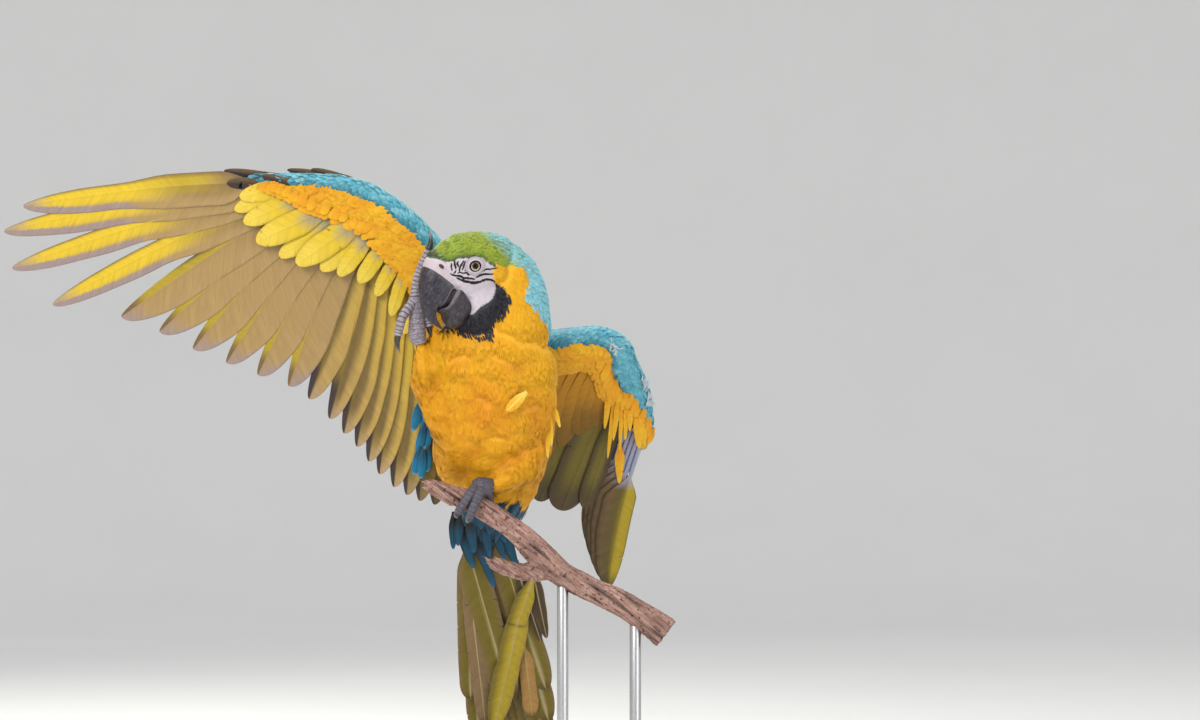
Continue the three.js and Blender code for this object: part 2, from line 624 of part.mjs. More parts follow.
const neckCut = { way: vec(0.05, -0.1, 1).normalize(), through: at(-4, -38, 188) };
const neckLevel = neckCut.through.dot(neckCut.way);
const neckPiece = largest(body.trimByPlane(neckCut.way.toArray(), neckLevel + GAP));
const torso = largest(body.trimByPlane(neckCut.way.clone().negate().toArray(), -neckLevel));
add("torso", torso, "yellow");
add("neck", neckPiece, "yellow");
add("head", headPiece, "green");
add("eye_left", head.eyes[0], "eye");
add("eye_right", head.eyes[1], "eye");
add("bill_upper", billUpper, "black");
add("bill_lower", billLower, "black");

add("wing_right", clearOf(wing(RIGHT, RIGHT_ARM, rightFlight(), RIGHT_TIERS), birdRoom), "blue");
add("wing_left", clearOf(wing(LEFT, LEFT_ARM, leftFlight(), LEFT_TIERS), birdRoom), "blue");

const tailCore = loft(TAIL_CORE, { side: TAIL.out, around: 10, rings: 5 });
add("tail", clearOf(union(tailCore, tailFeathers(), tailCoverts()), fleshRoom.torso, branchRoom), "blue");

// Legs: feathered thighs, scaly feet and claws.
const THIGH_RIGHT = [
  { at: at(-50, -28, 62), wide: 24, deep: 24 },
  { at: at(-66, -44, 88), wide: 22, deep: 22 },
  { at: at(-76, -52, 118), wide: 18, deep: 18 },
  { at: at(-80, -50, 142), wide: 13, deep: 13 },
  { at: at(-82, -46, 158), wide: 9, deep: 9 },
  { at: at(-83, -45, 166), wide: 6.5, deep: 6.5 },
];
const THIGH_LEFT = [
  { at: at(28, -6, 58), wide: 28, deep: 28 },
  { at: at(20, -22, 38), wide: 27, deep: 27 },
  { at: at(3, -32, 22), wide: 18, deep: 18 },
  { at: at(-9, -38, 15.5), wide: 10, deep: 10 },
];
const TARSUS_RIGHT = [
  { at: at(-83, -45, 164), wide: 7, deep: 7 },
  { at: at(-86, -46, 174), wide: 9.5, deep: 9 },
  { at: at(-87, -46, 190), wide: 8, deep: 8 },
  { at: at(-88, -45, 204), wide: 8.5, deep: 8.5 },
  { at: at(-88, -45, 213), wide: 7, deep: 7 },
];
const TARSUS_LEFT = [
  { at: at(-8, -37, 16), wide: 7, deep: 7 },
  { at: at(-15, -42, 14.5), wide: 8, deep: 8 },
  { at: at(-20.5, -46, 13.5), wide: 8.5, deep: 8 },
];
const thighOptions = { around: 12, rings: 8 };
const thighRight = clearOf(loft(THIGH_RIGHT, thighOptions), birdRoom, branchRoom);
const thighLeft = clearOf(loft(THIGH_LEFT, thighOptions), birdRoom, branchRoom);
add("thigh_right", thighRight, "yellow");
add("thigh_left", thighLeft, "yellow");

const leftToes = LEFT_TOES.map(({ sweep, slide }) =>
  TOE_STEPS.map((t) => gripPoint(rad(sweep * t), lerp(slide[0], slide[1], t), CLAW_GRIP)),
);
const footLeft = union(loft(TARSUS_LEFT, { around: 10, rings: 5 }), leftToes.map((points) => toe(points)));
const thighRoomLeft = loft(THIGH_LEFT, { ...thighOptions, grow: GAP });
add("foot_left", clearOf(footLeft, thighRoomLeft, birdRoom, branchRoom), "grey");

const rightToes = RIGHT_TOES.map(({ points }) => points.map((p) => at(...p)));
const footRight = union(loft(TARSUS_RIGHT, { around: 10, rings: 6 }), rightToes.map((points) => toe(points)));
const thighRoomRight = loft(THIGH_RIGHT, { ...thighOptions, grow: GAP });
add("foot_right", clearOf(footRight, thighRoomRight, birdRoom, billRoom), "grey");

// Claws leave the toes' ends and bend on the way that the toes bend.
function addClaws(side, toes, bends, obstacles) {
  toes.forEach((points, i) => {
    const end = points[points.length - 1];
    const way = end.clone().sub(points[points.length - 2]).normalize();
    const horn = claw(end.clone().addScaledVector(way, 0.4), way, bends[i]);
    add(`claw_${side}_${i + 1}`, clearOf(horn, obstacles), "black");
  });
}
const toeRoom = (toes) => toes.map((points) => toe(points, TOE_RADIUS, GAP));
const inward = leftToes.map((points) => GRIP_CENTRE.clone().sub(points[points.length - 1]).normalize());
addClaws("left", leftToes, inward, [branchRoom, toeRoom(leftToes)]);
const RIGHT_BENDS = [vec(-0.5, 0, 0.95), vec(0.6, 0.3, -0.6), vec(0.7, 0.2, -0.2), vec(0.2, 0.2, 0.9)];
addClaws("right", rightToes, RIGHT_BENDS, [birdRoom, toeRoom(rightToes), billRoom]);

// The branch, its rods and the base.
add("perch", branch, "wood");
const outline = new THREE.Shape();
const [halfWidth, halfDepth, corner] = [BASE.width / 2, BASE.depth / 2, BASE.corner];
outline.moveTo(-halfWidth + corner, -halfDepth);
outline.lineTo(halfWidth - corner, -halfDepth);
outline.absarc(halfWidth - corner, -halfDepth + corner, corner, -Math.PI / 2, 0);
outline.lineTo(halfWidth, halfDepth - corner);
outline.absarc(halfWidth - corner, halfDepth - corner, corner, 0, Math.PI / 2);
outline.lineTo(-halfWidth + corner, halfDepth);
outline.absarc(-halfWidth + corner, halfDepth - corner, corner, Math.PI / 2, Math.PI);
outline.lineTo(-halfWidth, -halfDepth + corner);
outline.absarc(-halfWidth + corner, -halfDepth + corner, corner, Math.PI, 1.5 * Math.PI);
const plate = new THREE.ExtrudeGeometry(outline, { depth: BASE.thick, bevelEnabled: false, curveSegments: 6 });
add("stand_base", solid(plate), "stand");
ROD_PLACES.forEach((x, i) => {
  const top = PERCH_HEIGHT - ROD_SINK;
  const rod = new THREE.CylinderGeometry(ROD_RADIUS, ROD_RADIUS, top - BASE.thick - GAP, 20);
  rod.rotateX(Math.PI / 2).translate(x, BRANCH_DEPTH, (top + BASE.thick + GAP) / 2);
  add(`stand_rod_${i + 1}`, clearOf(solid(rod), branchRoom), "steel");
});

export default macaw;
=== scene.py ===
"""A blue-and-yellow macaw, life size, on a cut branch that a display stand holds.

The bird faces -Y. It stretches its right wing towards -X, half opens its left one, turns its head to its
right and scratches behind its bill with its raised right foot. Sizes in the lists are millimetres, counted
upwards from the perch. at(), in_head() and the wings' planes place them, and meshes are made in metres.
"""

import math

import bpy
import numpy as np
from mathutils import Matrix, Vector


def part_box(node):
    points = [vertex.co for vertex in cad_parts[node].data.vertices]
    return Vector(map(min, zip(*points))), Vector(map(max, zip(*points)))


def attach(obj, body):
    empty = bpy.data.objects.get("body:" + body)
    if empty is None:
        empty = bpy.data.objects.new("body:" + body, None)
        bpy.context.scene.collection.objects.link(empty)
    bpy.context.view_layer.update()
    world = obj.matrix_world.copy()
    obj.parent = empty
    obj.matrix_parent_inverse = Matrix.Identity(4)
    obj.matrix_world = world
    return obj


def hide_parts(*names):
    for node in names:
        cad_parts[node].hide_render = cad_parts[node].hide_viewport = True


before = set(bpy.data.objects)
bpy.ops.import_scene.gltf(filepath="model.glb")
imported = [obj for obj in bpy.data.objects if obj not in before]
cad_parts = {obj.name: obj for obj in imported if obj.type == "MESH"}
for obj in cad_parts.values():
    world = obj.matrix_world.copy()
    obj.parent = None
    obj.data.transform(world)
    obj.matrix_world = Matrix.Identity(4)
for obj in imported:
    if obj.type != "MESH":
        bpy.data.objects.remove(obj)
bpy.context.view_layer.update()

MM = 0.001
PERCH_HEIGHT = 462.0
SEED = 7
STEP = 1e-3
SIDEWAYS = (1, 0, 0)


# ---- Lines and frames ----
def at(x, y, z):
    """A place counted from the perch, as a point in millimetres."""
    return np.array([x, y, z + PERCH_HEIGHT], float)


def unit(vectors):
    """Vectors, or one vector, at length 1."""
    vectors = np.asarray(vectors, float)
    return vectors / np.maximum(np.linalg.norm(vectors, axis=-1, keepdims=True), 1e-9)


def spline(points, t):
    """Points of a smooth line through a list of points, evenly counted, at t from 0 to 1."""
    points = np.asarray(points, float)
    points = np.vstack([2 * points[0] - points[1], points, 2 * points[-1] - points[-2]])
    last = len(points) - 3
    place = np.clip(np.atleast_1d(t), 0, 1) * last
    i = np.minimum(place.astype(int), last - 1)
    f = (place - i)[:, None]
    a, b, c, d = points[i], points[i + 1], points[i + 2], points[i + 3]
    bend = (2 * a - 5 * b + 4 * c - d) * f + (3 * b - a - 3 * c + d) * f * f
    return b + 0.5 * f * (c - a + bend)


def level(values, t):
    """Numbers along a smooth line through a list of numbers, at t from 0 to 1."""
    return spline(np.asarray(values, float)[:, None], t)[:, 0]


def heading(points, t):
    """The direction of a smooth line through a list of points, at t from 0 to 1."""
    return unit(spline(points, t + STEP) - spline(points, t - STEP))


def ease(low, high, value):
    """0 below low, 1 above high, and a smooth step between them."""
    t = np.clip((value - low) / (high - low), 0, 1)
    return t * t * (3 - 2 * t)


def blend(a, b, t):
    """Colours or vectors a and b mixed, b where t is 1."""
    t = np.asarray(t, float)[..., None]
    return np.asarray(a, float) * (1 - t) + np.asarray(b, float) * t


def layered(tone, *layers):
    """A tone with other colours laid over it: (colour, share) pairs, each covering where its share is 1."""
    for colour, share in layers:
        tone = blend(tone, colour, share)
    return tone


def ripple(points, size, seed):
    """Smooth, irregular waves between -1 and 1 over points, about `size` mm apart."""
    chance = np.random.default_rng(seed)
    total = np.zeros(len(points))
    for _ in range(5):
        way = unit(chance.normal(size=3)) * chance.uniform(0.7, 1.5) * 2 * math.pi / size
        total += np.sin(points @ way + chance.uniform(0, 6.3))
    return total / 3


HEAD_YAW = math.radians(65)
HEAD_PITCH = math.radians(17)
HEAD_CENTRE = at(-36, -70, 247)
LEVEL = math.cos(HEAD_PITCH)
HEAD_FORWARD = np.array([-math.sin(HEAD_YAW) * LEVEL, -math.cos(HEAD_YAW) * LEVEL, -math.sin(HEAD_PITCH)])
HEAD_LEFT = np.array([math.cos(HEAD_YAW), -math.sin(HEAD_YAW), 0])
HEAD_UP = np.cross(HEAD_FORWARD, HEAD_LEFT)
HEAD_AXES = np.stack([HEAD_FORWARD, HEAD_LEFT, HEAD_UP])
SIDES = {"left": 1, "right": -1}


def in_head(x, y, z):
    """A point of the head's own frame: x towards the bill, y to its left, z up from between the eyes."""
    return HEAD_CENTRE + np.array([x, y, z], float) @ HEAD_AXES


def to_head(points):
    """Points, seen in the head's own frame."""
    return (points - HEAD_CENTRE) @ HEAD_AXES.T


def stations_at(place, *rows):
    """Stations for a loft from rows of three numbers for place(), a half width and a half depth."""
    return [(place(x, y, z), wide, deep) for x, y, z, wide, deep in rows]


CAMBER = 0.0003


class WingPlane:
    """A flat wing: `out` points to its tip, `back` to its feathers' tips and `under` out of its underside.

    Behind the line `flat` mm back from the shoulder it bends towards its underside.
    """

    def __init__(self, shoulder, out, back, hand, flat=1e4):
        self.shoulder = shoulder
        self.back = unit(back)
        self.out = unit(out - np.dot(out, self.back) * self.back)
        self.under = np.cross(self.out, self.back) * hand
        self.hand = hand
        self.flat = flat

    def point(self, a, b, c=0.0):
        """The place a mm out, b mm back and c mm under the shoulder."""
        return self.shoulder + a * self.out + b * self.back + c * self.under

    def bend(self, points):
        """How far points move towards the underside."""
        behind = (points - self.shoulder) @ self.back - self.flat
        return CAMBER * np.maximum(0, behind) ** 2

    def seen(self, points):
        """Points as (out, back, under) distances from the shoulder."""
        return (points - self.shoulder) @ np.stack([self.out, self.back, self.under]).T


RIGHT = WingPlane(at(-58, 12, 191), np.array([-0.993, 0.12, 0]), np.array([0, 0.17, -0.985]), 1, 0)
LEFT = WingPlane(at(54, 12, 173), np.array([0.97, 0.24, 0]), np.array([0, 0.57, -0.82]), -1, 120)
TAIL = WingPlane(at(-20, 48, -44), np.array([1, 0, 0.142]), np.array([0.12, 0.52, -0.845]), -1)


# ---- Camera and light ----
LENS = 120
SENSOR = 36
FRAME_WIDTH = 1.26
CAMERA_X = 0.105
CAMERA_HEIGHT = 0.609
SUBJECT_Y = -0.03
BIRD_MIDDLE = (-0.05, 0, 0.6)
# Each light's place, size, power and colour.
LIGHTS = {
    "key": ((-1.5, -2.6, 2.3), 1.6, 64, (1, 0.98, 0.94)),
    "fill": ((2.6, -2.4, 1.1), 2.2, 24, (0.95, 0.97, 1)),
    "rim": ((-1.2, 2.2, 2.2), 1.4, 50, (1, 0.97, 0.9)),
    "top": ((0.3, 0.2, 2.9), 2.0, 24, (1, 1, 1)),
}
SKY_LIGHT = (0.97, 0.98, 1, 1)
SKY_STRENGTH = 0.78


def add_object(name, data):
    """A new object of the scene."""
    found = bpy.data.objects.new(name, data)
    bpy.context.scene.collection.objects.link(found)
    return found


def set_camera():
    """A level camera in front of the bird, which stands left of the middle of the frame."""
    data = bpy.data.cameras.new("camera")
    data.lens = LENS
    data.sensor_width = SENSOR
    camera = add_object("camera", data)
    distance = FRAME_WIDTH * LENS / SENSOR
    camera.location = (CAMERA_X, SUBJECT_Y - distance, CAMERA_HEIGHT)
    camera.rotation_euler = (math.radians(90), 0, 0)
    bpy.context.scene.camera = camera


def set_lights():
    """Square soft lights: a key from the upper left, a weaker fill from the right and a rim from behind."""
    for name, (place, size, power, colour) in LIGHTS.items():
        data = bpy.data.lights.new(name, "AREA")
        data.size = size
        data.energy = power
        data.color = colour
        light = add_object(name, data)
        light.location = place
        light.rotation_euler = (Vector(BIRD_MIDDLE) - Vector(place)).to_track_quat("-Z", "Y").to_euler()
    world = bpy.data.worlds.new("studio")
    world.use_nodes = True
    background = world.node_tree.nodes["Background"]
    background.inputs["Color"].default_value = SKY_LIGHT
    background.inputs["Strength"].default_value = SKY_STRENGTH
    bpy.context.scene.world = world
    bpy.context.scene.view_settings.view_transform = "Standard"


# ---- Making meshes ----
def alone():
    """Deselects everything, so that an operator acts on a new piece only."""
    if bpy.context.object and bpy.context.object.mode != "OBJECT":
        bpy.ops.object.mode_set(mode="OBJECT")
    bpy.ops.object.select_all(action="DESELECT")


def only(piece):
    """Makes a piece the only selected one, and the active one."""
    alone()
    piece.select_set(True)
    bpy.context.view_layer.objects.active = piece


def primitive(add, name, **settings):
    """A new piece made by an operator, such as one that adds a cube."""
    alone()
    add(**settings)
    bpy.context.object.name = name
    return bpy.context.object


def edit(piece, *steps):
    """Runs mesh operators, as (operator, settings) pairs, on the whole of a piece."""
    only(piece)
    bpy.ops.object.mode_set(mode="EDIT")
    for operator, settings in steps:
        bpy.ops.mesh.select_all(action="SELECT")
        operator(**settings)
    bpy.ops.object.mode_set(mode="OBJECT")
    return piece


def read(items, key, width=3, kind=np.float32):
    """One property of all of a mesh's items, as rows of `width` numbers."""
    found = np.empty(len(items) * width, kind)
    items.foreach_get(key, found)
    return found.reshape(-1, width)


def places_of(piece):
    """A piece's vertices in millimetres."""
    return read(piece.data.vertices, "co").astype(float) / MM


def normals_of(piece):
    """The outward directions at a piece's vertices."""
    return read(piece.data.vertex_normals, "vector").astype(float)


def place_all(piece, points):
    """Moves a piece's vertices to points in millimetres."""
    piece.data.vertices.foreach_set("co", (points * MM).astype(np.float32).ravel())
    piece.data.update()


def apply(piece, kind, **settings):
    """Adds one modifier to a piece and applies it."""
    only(piece)
    modifier = piece.modifiers.new(kind.lower(), kind)
    for name, value in settings.items():
        setattr(modifier, name, value)
    bpy.ops.object.modifier_apply(modifier=modifier.name)
    return piece


def made_of(name, points, faces):
    """A new piece from points in millimetres and equal-sided faces."""
    mesh = bpy.data.meshes.new(name)
    mesh.from_pydata(points * MM, [], faces)
    mesh.shade_smooth()
    return add_object(name, mesh)


def joined(name, pieces):
    """Several pieces as one."""
    only(pieces[0])
    for piece in pieces[1:]:
        piece.select_set(True)
    bpy.ops.object.join()
    pieces[0].name = name
    pieces[0].data.name = name
    return pieces[0]


def paint(piece, colours):
    """Writes a colour, or one for each vertex, which the piece's material reads."""
    count = len(piece.data.vertices)
    layer = piece.data.color_attributes.new("tone", "FLOAT_COLOR", "POINT")
    full = np.ones((count, 4), np.float32)
    full[:, :3] = np.clip(colours, 0, 1)
    layer.data.foreach_set("color", full.ravel())


def vertex_of_corner(mesh):
    """The vertex at each corner of each face."""
    return read(mesh.loops, "vertex_index", 1, np.int32)[:, 0]


def lay_out(piece, name, places):
    """Writes a UV map from one place per vertex."""
    layer = piece.data.uv_layers.new(name=name)
    corners = places[vertex_of_corner(piece.data)].astype(np.float32)
    layer.uv.foreach_set("vector", corners.ravel())


def pick_upright(piece, least):
    """Selects the edges of a piece that rise by more than `least`."""
    bpy.ops.object.mode_set(mode="EDIT")
    bpy.ops.mesh.select_mode(type="EDGE")
    bpy.ops.mesh.select_all(action="DESELECT")
    bpy.ops.object.mode_set(mode="OBJECT")
    for edge in piece.data.edges:
        low, high = (piece.data.vertices[i].co.z for i in edge.vertices)
        edge.select = abs(low - high) > least


def unit_tube(name, around, rings):
    """An upright cylinder of radius 1 and height 1 with closed ends, cut into rings."""
    add = bpy.ops.mesh.primitive_cylinder_add
    tube = primitive(add, name, vertices=around, radius=1, depth=1, end_fill_type="TRIFAN")
    pick_upright(tube, 0.5)
    bpy.ops.object.mode_set(mode="EDIT")
    bpy.ops.mesh.subdivide(number_cuts=rings - 1)
    bpy.ops.object.mode_set(mode="OBJECT")
    tube.data.shade_smooth()
    return tube


def loft(name, stations, side, around=32, rings=24, grow=0.0, swell=None):
    """A closed tube of oval rings through stations (point, wide, deep). `side` is the way `wide` is measured.

    `grow` makes it thicker, and swell(t, angle) gives an outward move at each vertex.
    """
    tube = unit_tube(name, around, rings)
    base = places_of(tube) * MM
    t = 0.5 - base[:, 2]
    line = [point for point, _, _ in stations]
    sizes = spline([[wide + grow, deep + grow] for _, wide, deep in stations], t)
    tangent = heading(line, t)
    deep_way = unit(np.cross(tangent, side))
    wide_way = np.cross(deep_way, tangent)
    angle = np.arctan2(base[:, 1], base[:, 0])
    if swell is not None:
        sizes = sizes + swell(t, angle)[:, None]
    reach = base[:, 0:1] * sizes[:, 0:1] * wide_way + base[:, 1:2] * sizes[:, 1:2] * deep_way
    place_all(tube, spline(line, t) + reach)
    while tube.data.uv_layers:
        tube.data.uv_layers.remove(tube.data.uv_layers[0])
    lay_out(tube, "OFBake", np.column_stack([angle / (2 * math.pi) % 1, t]))
    return outward(tube)


def outward(piece):
    """Turns a closed piece's faces outwards."""
    return edit(piece, (bpy.ops.mesh.normals_make_consistent, dict(inside=False)))


def soften(piece, ways, share):
    """Leans a piece's shading towards `ways`, so that many small feathers read as one soft surface."""
    mixed = unit(normals_of(piece) * (1 - share) + ways * share)
    piece.data.normals_split_custom_set_from_vertices(mixed.tolist())


def turned(points, way):
    """Points turned so that their z axis runs along `way`."""
    return points @ np.array(Vector(way).to_track_quat("Z", "Y").to_matrix()).T


def finish(piece, material, slot, *nodes):
    """Gives a piece its material and its body, and hides the nodes that it stands for. `slot` is not used."""
    piece.data.materials.clear()
    piece.data.materials.append(material)
    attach(piece, "root")
    if nodes:
        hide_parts(*nodes)
    return piece


# ---- Shader maths ----
class Signal:
    """A shader socket that can be used in sums."""

    def __init__(self, tree, socket):
        self.tree = tree
        self.socket = socket

    def _sum(self, operation, a, b):
        return add_node(self.tree, "ShaderNodeMath", {"operation": operation}, 0, s0=a, s1=b)

    def __add__(self, other):
        return self._sum("ADD", self, other)

    def __radd__(self, other):
        return self._sum("ADD", other, self)

    def __sub__(self, other):
        return self._sum("SUBTRACT", self, other)

    def __rsub__(self, other):
        return self._sum("SUBTRACT", other, self)

    def __mul__(self, other):
        return self._sum("MULTIPLY", self, other)

    def __pow__(self, other):
        return self._sum("POWER", self, other)

    def __abs__(self):
        return self._sum("ABSOLUTE", self, 0.0)


def add_node(tree, kind, settings, output, **values):
    """One node: its settings, then values or links for its sockets.

    Sockets are named s0, s1 ... by place, or by their own name with underscores.
    """
    node = tree.nodes.new(kind)
    for name, value in (settings or {}).items():
        if name == "stops":
            fill_ramp(node.color_ramp, value)
        else:
            setattr(node, name, value)
    for name, value in values.items():
        is_place = name[0] == "s" and name[1:].isdigit()
        socket = node.inputs[int(name[1:])] if is_place else node.inputs[name.replace("_", " ")]
        if isinstance(value, Signal):
            tree.links.new(value.socket, socket)
        else:
            socket.default_value = value
    return Signal(tree, node.outputs[output])


def fill_ramp(ramp, stops):
    """Sets a colour ramp's stops from (place, colour) pairs."""
    while len(ramp.elements) > 1:
        ramp.elements.remove(ramp.elements[-1])
    for i, (place, colour) in enumerate(stops):
        element = ramp.elements[0] if i == 0 else ramp.elements.new(place)
        element.position = place
        element.color = (*colour, 1)


class Finish:
    """A material in the making: its tree, its coordinates and its one Principled shader."""

    def __init__(self, name, **fixed):
        self.material = bpy.data.materials.new(name)
        self.material.use_nodes = True
        self.tree = self.material.node_tree
        self.shader = self.tree.nodes["Principled BSDF"]
        for socket, value in fixed.items():
            self.shader.inputs[socket.replace("_", " ")].default_value = value

    def node(self, kind, settings=None, output=0, **values):
        return add_node(self.tree, kind, settings, output, **values)

    def place(self):
        """The piece's own coordinates, in metres."""
        return self.node("ShaderNodeTexCoord", output=3)

    def attribute(self, name, output=0):
        return self.node("ShaderNodeAttribute", {"attribute_name": name}, output)

    def mapped(self, where, **settings):
        """Coordinates that are turned or stretched."""
        return self.node("ShaderNodeMapping", Vector=where, **settings)

    def noise(self, where, scale, detail=3.0, roughness=0.55):
        values = dict(Vector=where, Scale=scale, Detail=detail, Roughness=roughness)
        return self.node("ShaderNodeTexNoise", **values)

    def ramp(self, value, *stops):
        """A number or a colour that follows `value` through (place, number or colour) stops."""
        stops = [(p, c if isinstance(c, tuple) else (c, c, c)) for p, c in stops]
        return self.node("ShaderNodeValToRGB", {"stops": stops}, Fac=value)

    def mix(self, how, factor, a, b):
        """Two colours mixed, or multiplied, screened and so on, as `how` says."""
        settings = {"data_type": "RGBA", "blend_type": how}
        return self.node("ShaderNodeMix", settings, 2, s0=factor, s6=a, s7=b)

    def vector(self, operation, output, a, b=(0, 0, 0)):
        """A sum of two vectors. Output 0 is a vector and output 1 a number."""
        return self.node("ShaderNodeVectorMath", {"operation": operation}, output, s0=a, s1=tuple(b))

    def feed(self, socket, signal):
        self.tree.links.new(signal.socket, self.shader.inputs[socket])

    def shade(self, tone, *shades):
        """The base colour: a tone multiplied by one or more shades."""
        for shade in shades:
            tone = self.mix("MULTIPLY", 1.0, tone, shade)
        self.feed("Base Color", tone)

    def bump(self, height, strength, distance):
        normal = self.node("ShaderNodeBump", Height=height, Strength=strength, Distance=distance)
        self.feed("Normal", normal)


def plumage_finish(name, roughness=0.6, fringed=False):
    """Feathers: each one's own colour, with fine barbs that run slanting off its shaft.

    Where `fringed`, the vane turns mauve grey along its barbs where the piece's "fringe" is high.
    """
    look = Finish(name, Roughness=roughness, Specular_IOR_Level=0.3, Sheen_Weight=0.08, Sheen_Roughness=0.5)
    vane = look.node("ShaderNodeUVMap", {"uv_map": "vane"})
    across = look.node("ShaderNodeSeparateXYZ", Vector=vane)
    along = look.node("ShaderNodeSeparateXYZ", output=1, Vector=vane)
    slant = along - abs(across) * BARB_SLANT
    line = look.node("ShaderNodeCombineXYZ", X=slant, Y=across * 0.06, Z=0.0)
    barbs = look.noise(line, 900.0, 1.0)
    bands = look.noise(line, 130.0, 2.0)
    tone = look.attribute("tone")
    if fringed:
        broken = look.noise(line, 420.0, 3.0, 0.7)
        pale = look.ramp(look.attribute("fringe", 2) + (broken - 0.5) * 0.9, (0.42, 0.0), (0.62, 1.0))
        tone = look.mix("MIX", pale, tone, (*MAUVE, 1))
    shade = look.ramp(barbs, (0.3, 0.82), (0.7, 1.0))
    drift = look.ramp(bands, (0.25, 0.86), (0.75, 1.0))
    look.shade(tone, shade, drift)
    look.bump(barbs + bands * 0.6, 0.45, 0.0004)
    return look.material


def skin_finish():
    """Skin under the coat and bare skin of the face: its painted marks with fine pores."""
    look = Finish("bare_skin", Roughness=0.58)
    where = look.place()
    pores = look.noise(where, 1400.0, 2.0)
    folds = look.noise(where, 320.0, 3.0)
    tint = look.ramp(folds, (0.3, 0.86), (0.7, 1.0))
    look.shade(look.attribute("tone"), tint)
    look.bump(pores * 0.4 + folds, 0.45, 0.0006)
    return look.material


# ---- Flesh: torso, neck, head and thighs under one skin ----
TORSO = stations_at(
    at,
    (-6, -32, 205, 30, 28), (-8, -32, 186, 55, 45), (-12, -28, 157, 70, 56), (-14, -18, 121, 77, 62),
    (-13, -3, 84, 75, 62), (-10, 12, 47, 66, 56), (-9, 25, 16, 53, 47), (-13, 36, -12, 38, 34),
    (-19, 46, -38, 24, 19),
)
NECK = stations_at(
    at,
    (-10, -30, 160, 54, 42), (1, -34, 191, 58, 45), (6, -38, 213, 48, 40), (4, -43, 232, 41, 36),
    (-2, -48, 248, 34, 32), (-8, -53, 260, 26, 26), (-12, -56, 268, 16, 17),
)
SKULL = stations_at(
    in_head,
    (-54, 0, -4, 11, 12), (-47, 0, -3, 20, 21), (-35, 0, -3, 27, 29), (-20, 0, -3.6, 30.5, 34.5),
    (-2, 0, -4.4, 29, 38), (14, 0, -4.8, 25, 37.5), (27, 0, -1.7, 20, 33.4), (36, 0, 0.6, 16.5, 24.4),
    (41, 0, 1.2, 14.5, 18.5),
)
CHIN = stations_at(
    in_head,
    (-20, 0, -34, 22, 18), (-8, 0, -44, 27, 27), (6, 0, -49, 25, 28), (16, 0, -48, 19, 20),
    (20, 0, -47, 12, 13),
)
THIGH_RIGHT = stations_at(
    at,
    (-38, -10, 46, 14, 14), (-50, -26, 64, 22, 22), (-66, -44, 88, 22, 22), (-76, -52, 118, 18, 18),
    (-80, -50, 142, 13, 13), (-82, -46, 158, 9, 9), (-83, -45, 166, 6.5, 6.5),
)
THIGH_LEFT = stations_at(
    at,
    (28, -6, 58, 28, 28), (20, -22, 38, 27, 27), (3, -32, 22, 18, 18), (-9, -38, 15.5, 10, 10),
)
# The lofts of the flesh: stations, the way their width is measured, and how deep each lies in the coat.
FLESH = {
    "torso": (TORSO, SIDEWAYS, 4.0),
    "neck": (NECK, SIDEWAYS, 4.0),
    "skull": (SKULL, HEAD_LEFT, 1.6),
    "chin": (CHIN, HEAD_LEFT, 2.4),
    "thigh_a": (THIGH_RIGHT, SIDEWAYS, 2.5),
    "thigh_b": (THIGH_LEFT, SIDEWAYS, 4.0),
}
SKIN_VOXEL = 1.7


def make_skin(bare_skin):
    """One skin over torso, neck, head and thighs, inside the coat's outline, unwrapped and painted."""
    parts = [loft(name, stations, side, grow=-deep) for name, (stations, side, deep) in FLESH.items()]
    skin = joined("skin", parts)
    apply(skin, "REMESH", mode="VOXEL", voxel_size=SKIN_VOXEL * MM)
    apply(skin, "SMOOTH", factor=0.5, iterations=14)
    place_all(skin, folded(places_of(skin), normals_of(skin)))
    apply(skin, "SMOOTH", factor=0.5, iterations=5)
    place_all(skin, tucked(places_of(skin)))
    skin.data.shade_smooth()
    edit(skin, (bpy.ops.uv.smart_project, dict(angle_limit=1.15, island_margin=0.004, scale_to_bounds=True)))
    skin.data.uv_layers[0].name = "OFBake"
    paint(skin, markings_and_fold_shade(places_of(skin)))
    return finish(skin, bare_skin, "plumage_yellow", "torso", "neck", "head", "thigh_right", "thigh_left")


# The line where the bill leaves the face, as (height, forward) in the head's frame.
BILL_BASE = [(-60, 24), (-53, 15), (-46, 10.9), (-38, 13.2), (-28.8, 16.6), (-20.7, 19.4), (-17.4, 23.3)]
BILL_BASE += [(-15.4, 24.2), (-10.3, 26), (-5.4, 29), (1.2, 34.5), (10.8, 44.7)]
BILL_HEIGHTS = (-62, 11)
TUCK = 0.45


def tucked(points):
    """The skin drawn in where the bill stands in front of it."""
    seen = to_head(points)
    ahead = seen[:, 0] - np.interp(seen[:, 2], *zip(*BILL_BASE, strict=True))
    near = (seen[:, 2] > BILL_HEIGHTS[0]) & (seen[:, 2] < BILL_HEIGHTS[1]) & (np.abs(seen[:, 1]) < 30)
    seen[:, 1] *= 1 - TUCK * ease(-1.5, 3, ahead) * near
    return HEAD_CENTRE + seen @ HEAD_AXES


# Soft folds between the lobes of the breast: their lines as (x, height) in front, depth and half width.
FOLDS = [
    ([(-24, 66), (-24, 52), (-28, 36), (-36, 16)], 4, 8),
    ([(-58, 116), (-72, 106), (-92, 110)], 6, 7),
    ([(40, 62), (24, 50), (4, 40), (-8, 24)], 2.6, 9),
    ([(-6, 158), (10, 148), (30, 150)], 2.5, 9),
    ([(-20, 118), (-14, 104), (-22, 92)], 2.5, 7),
    ([(-70, 160), (-52, 150), (-40, 158)], 2.5, 8),
    ([(24, 120), (34, 104), (38, 84)], 3, 8),
]
FOLD_STEPS = 24
FLANK_INSET = 7


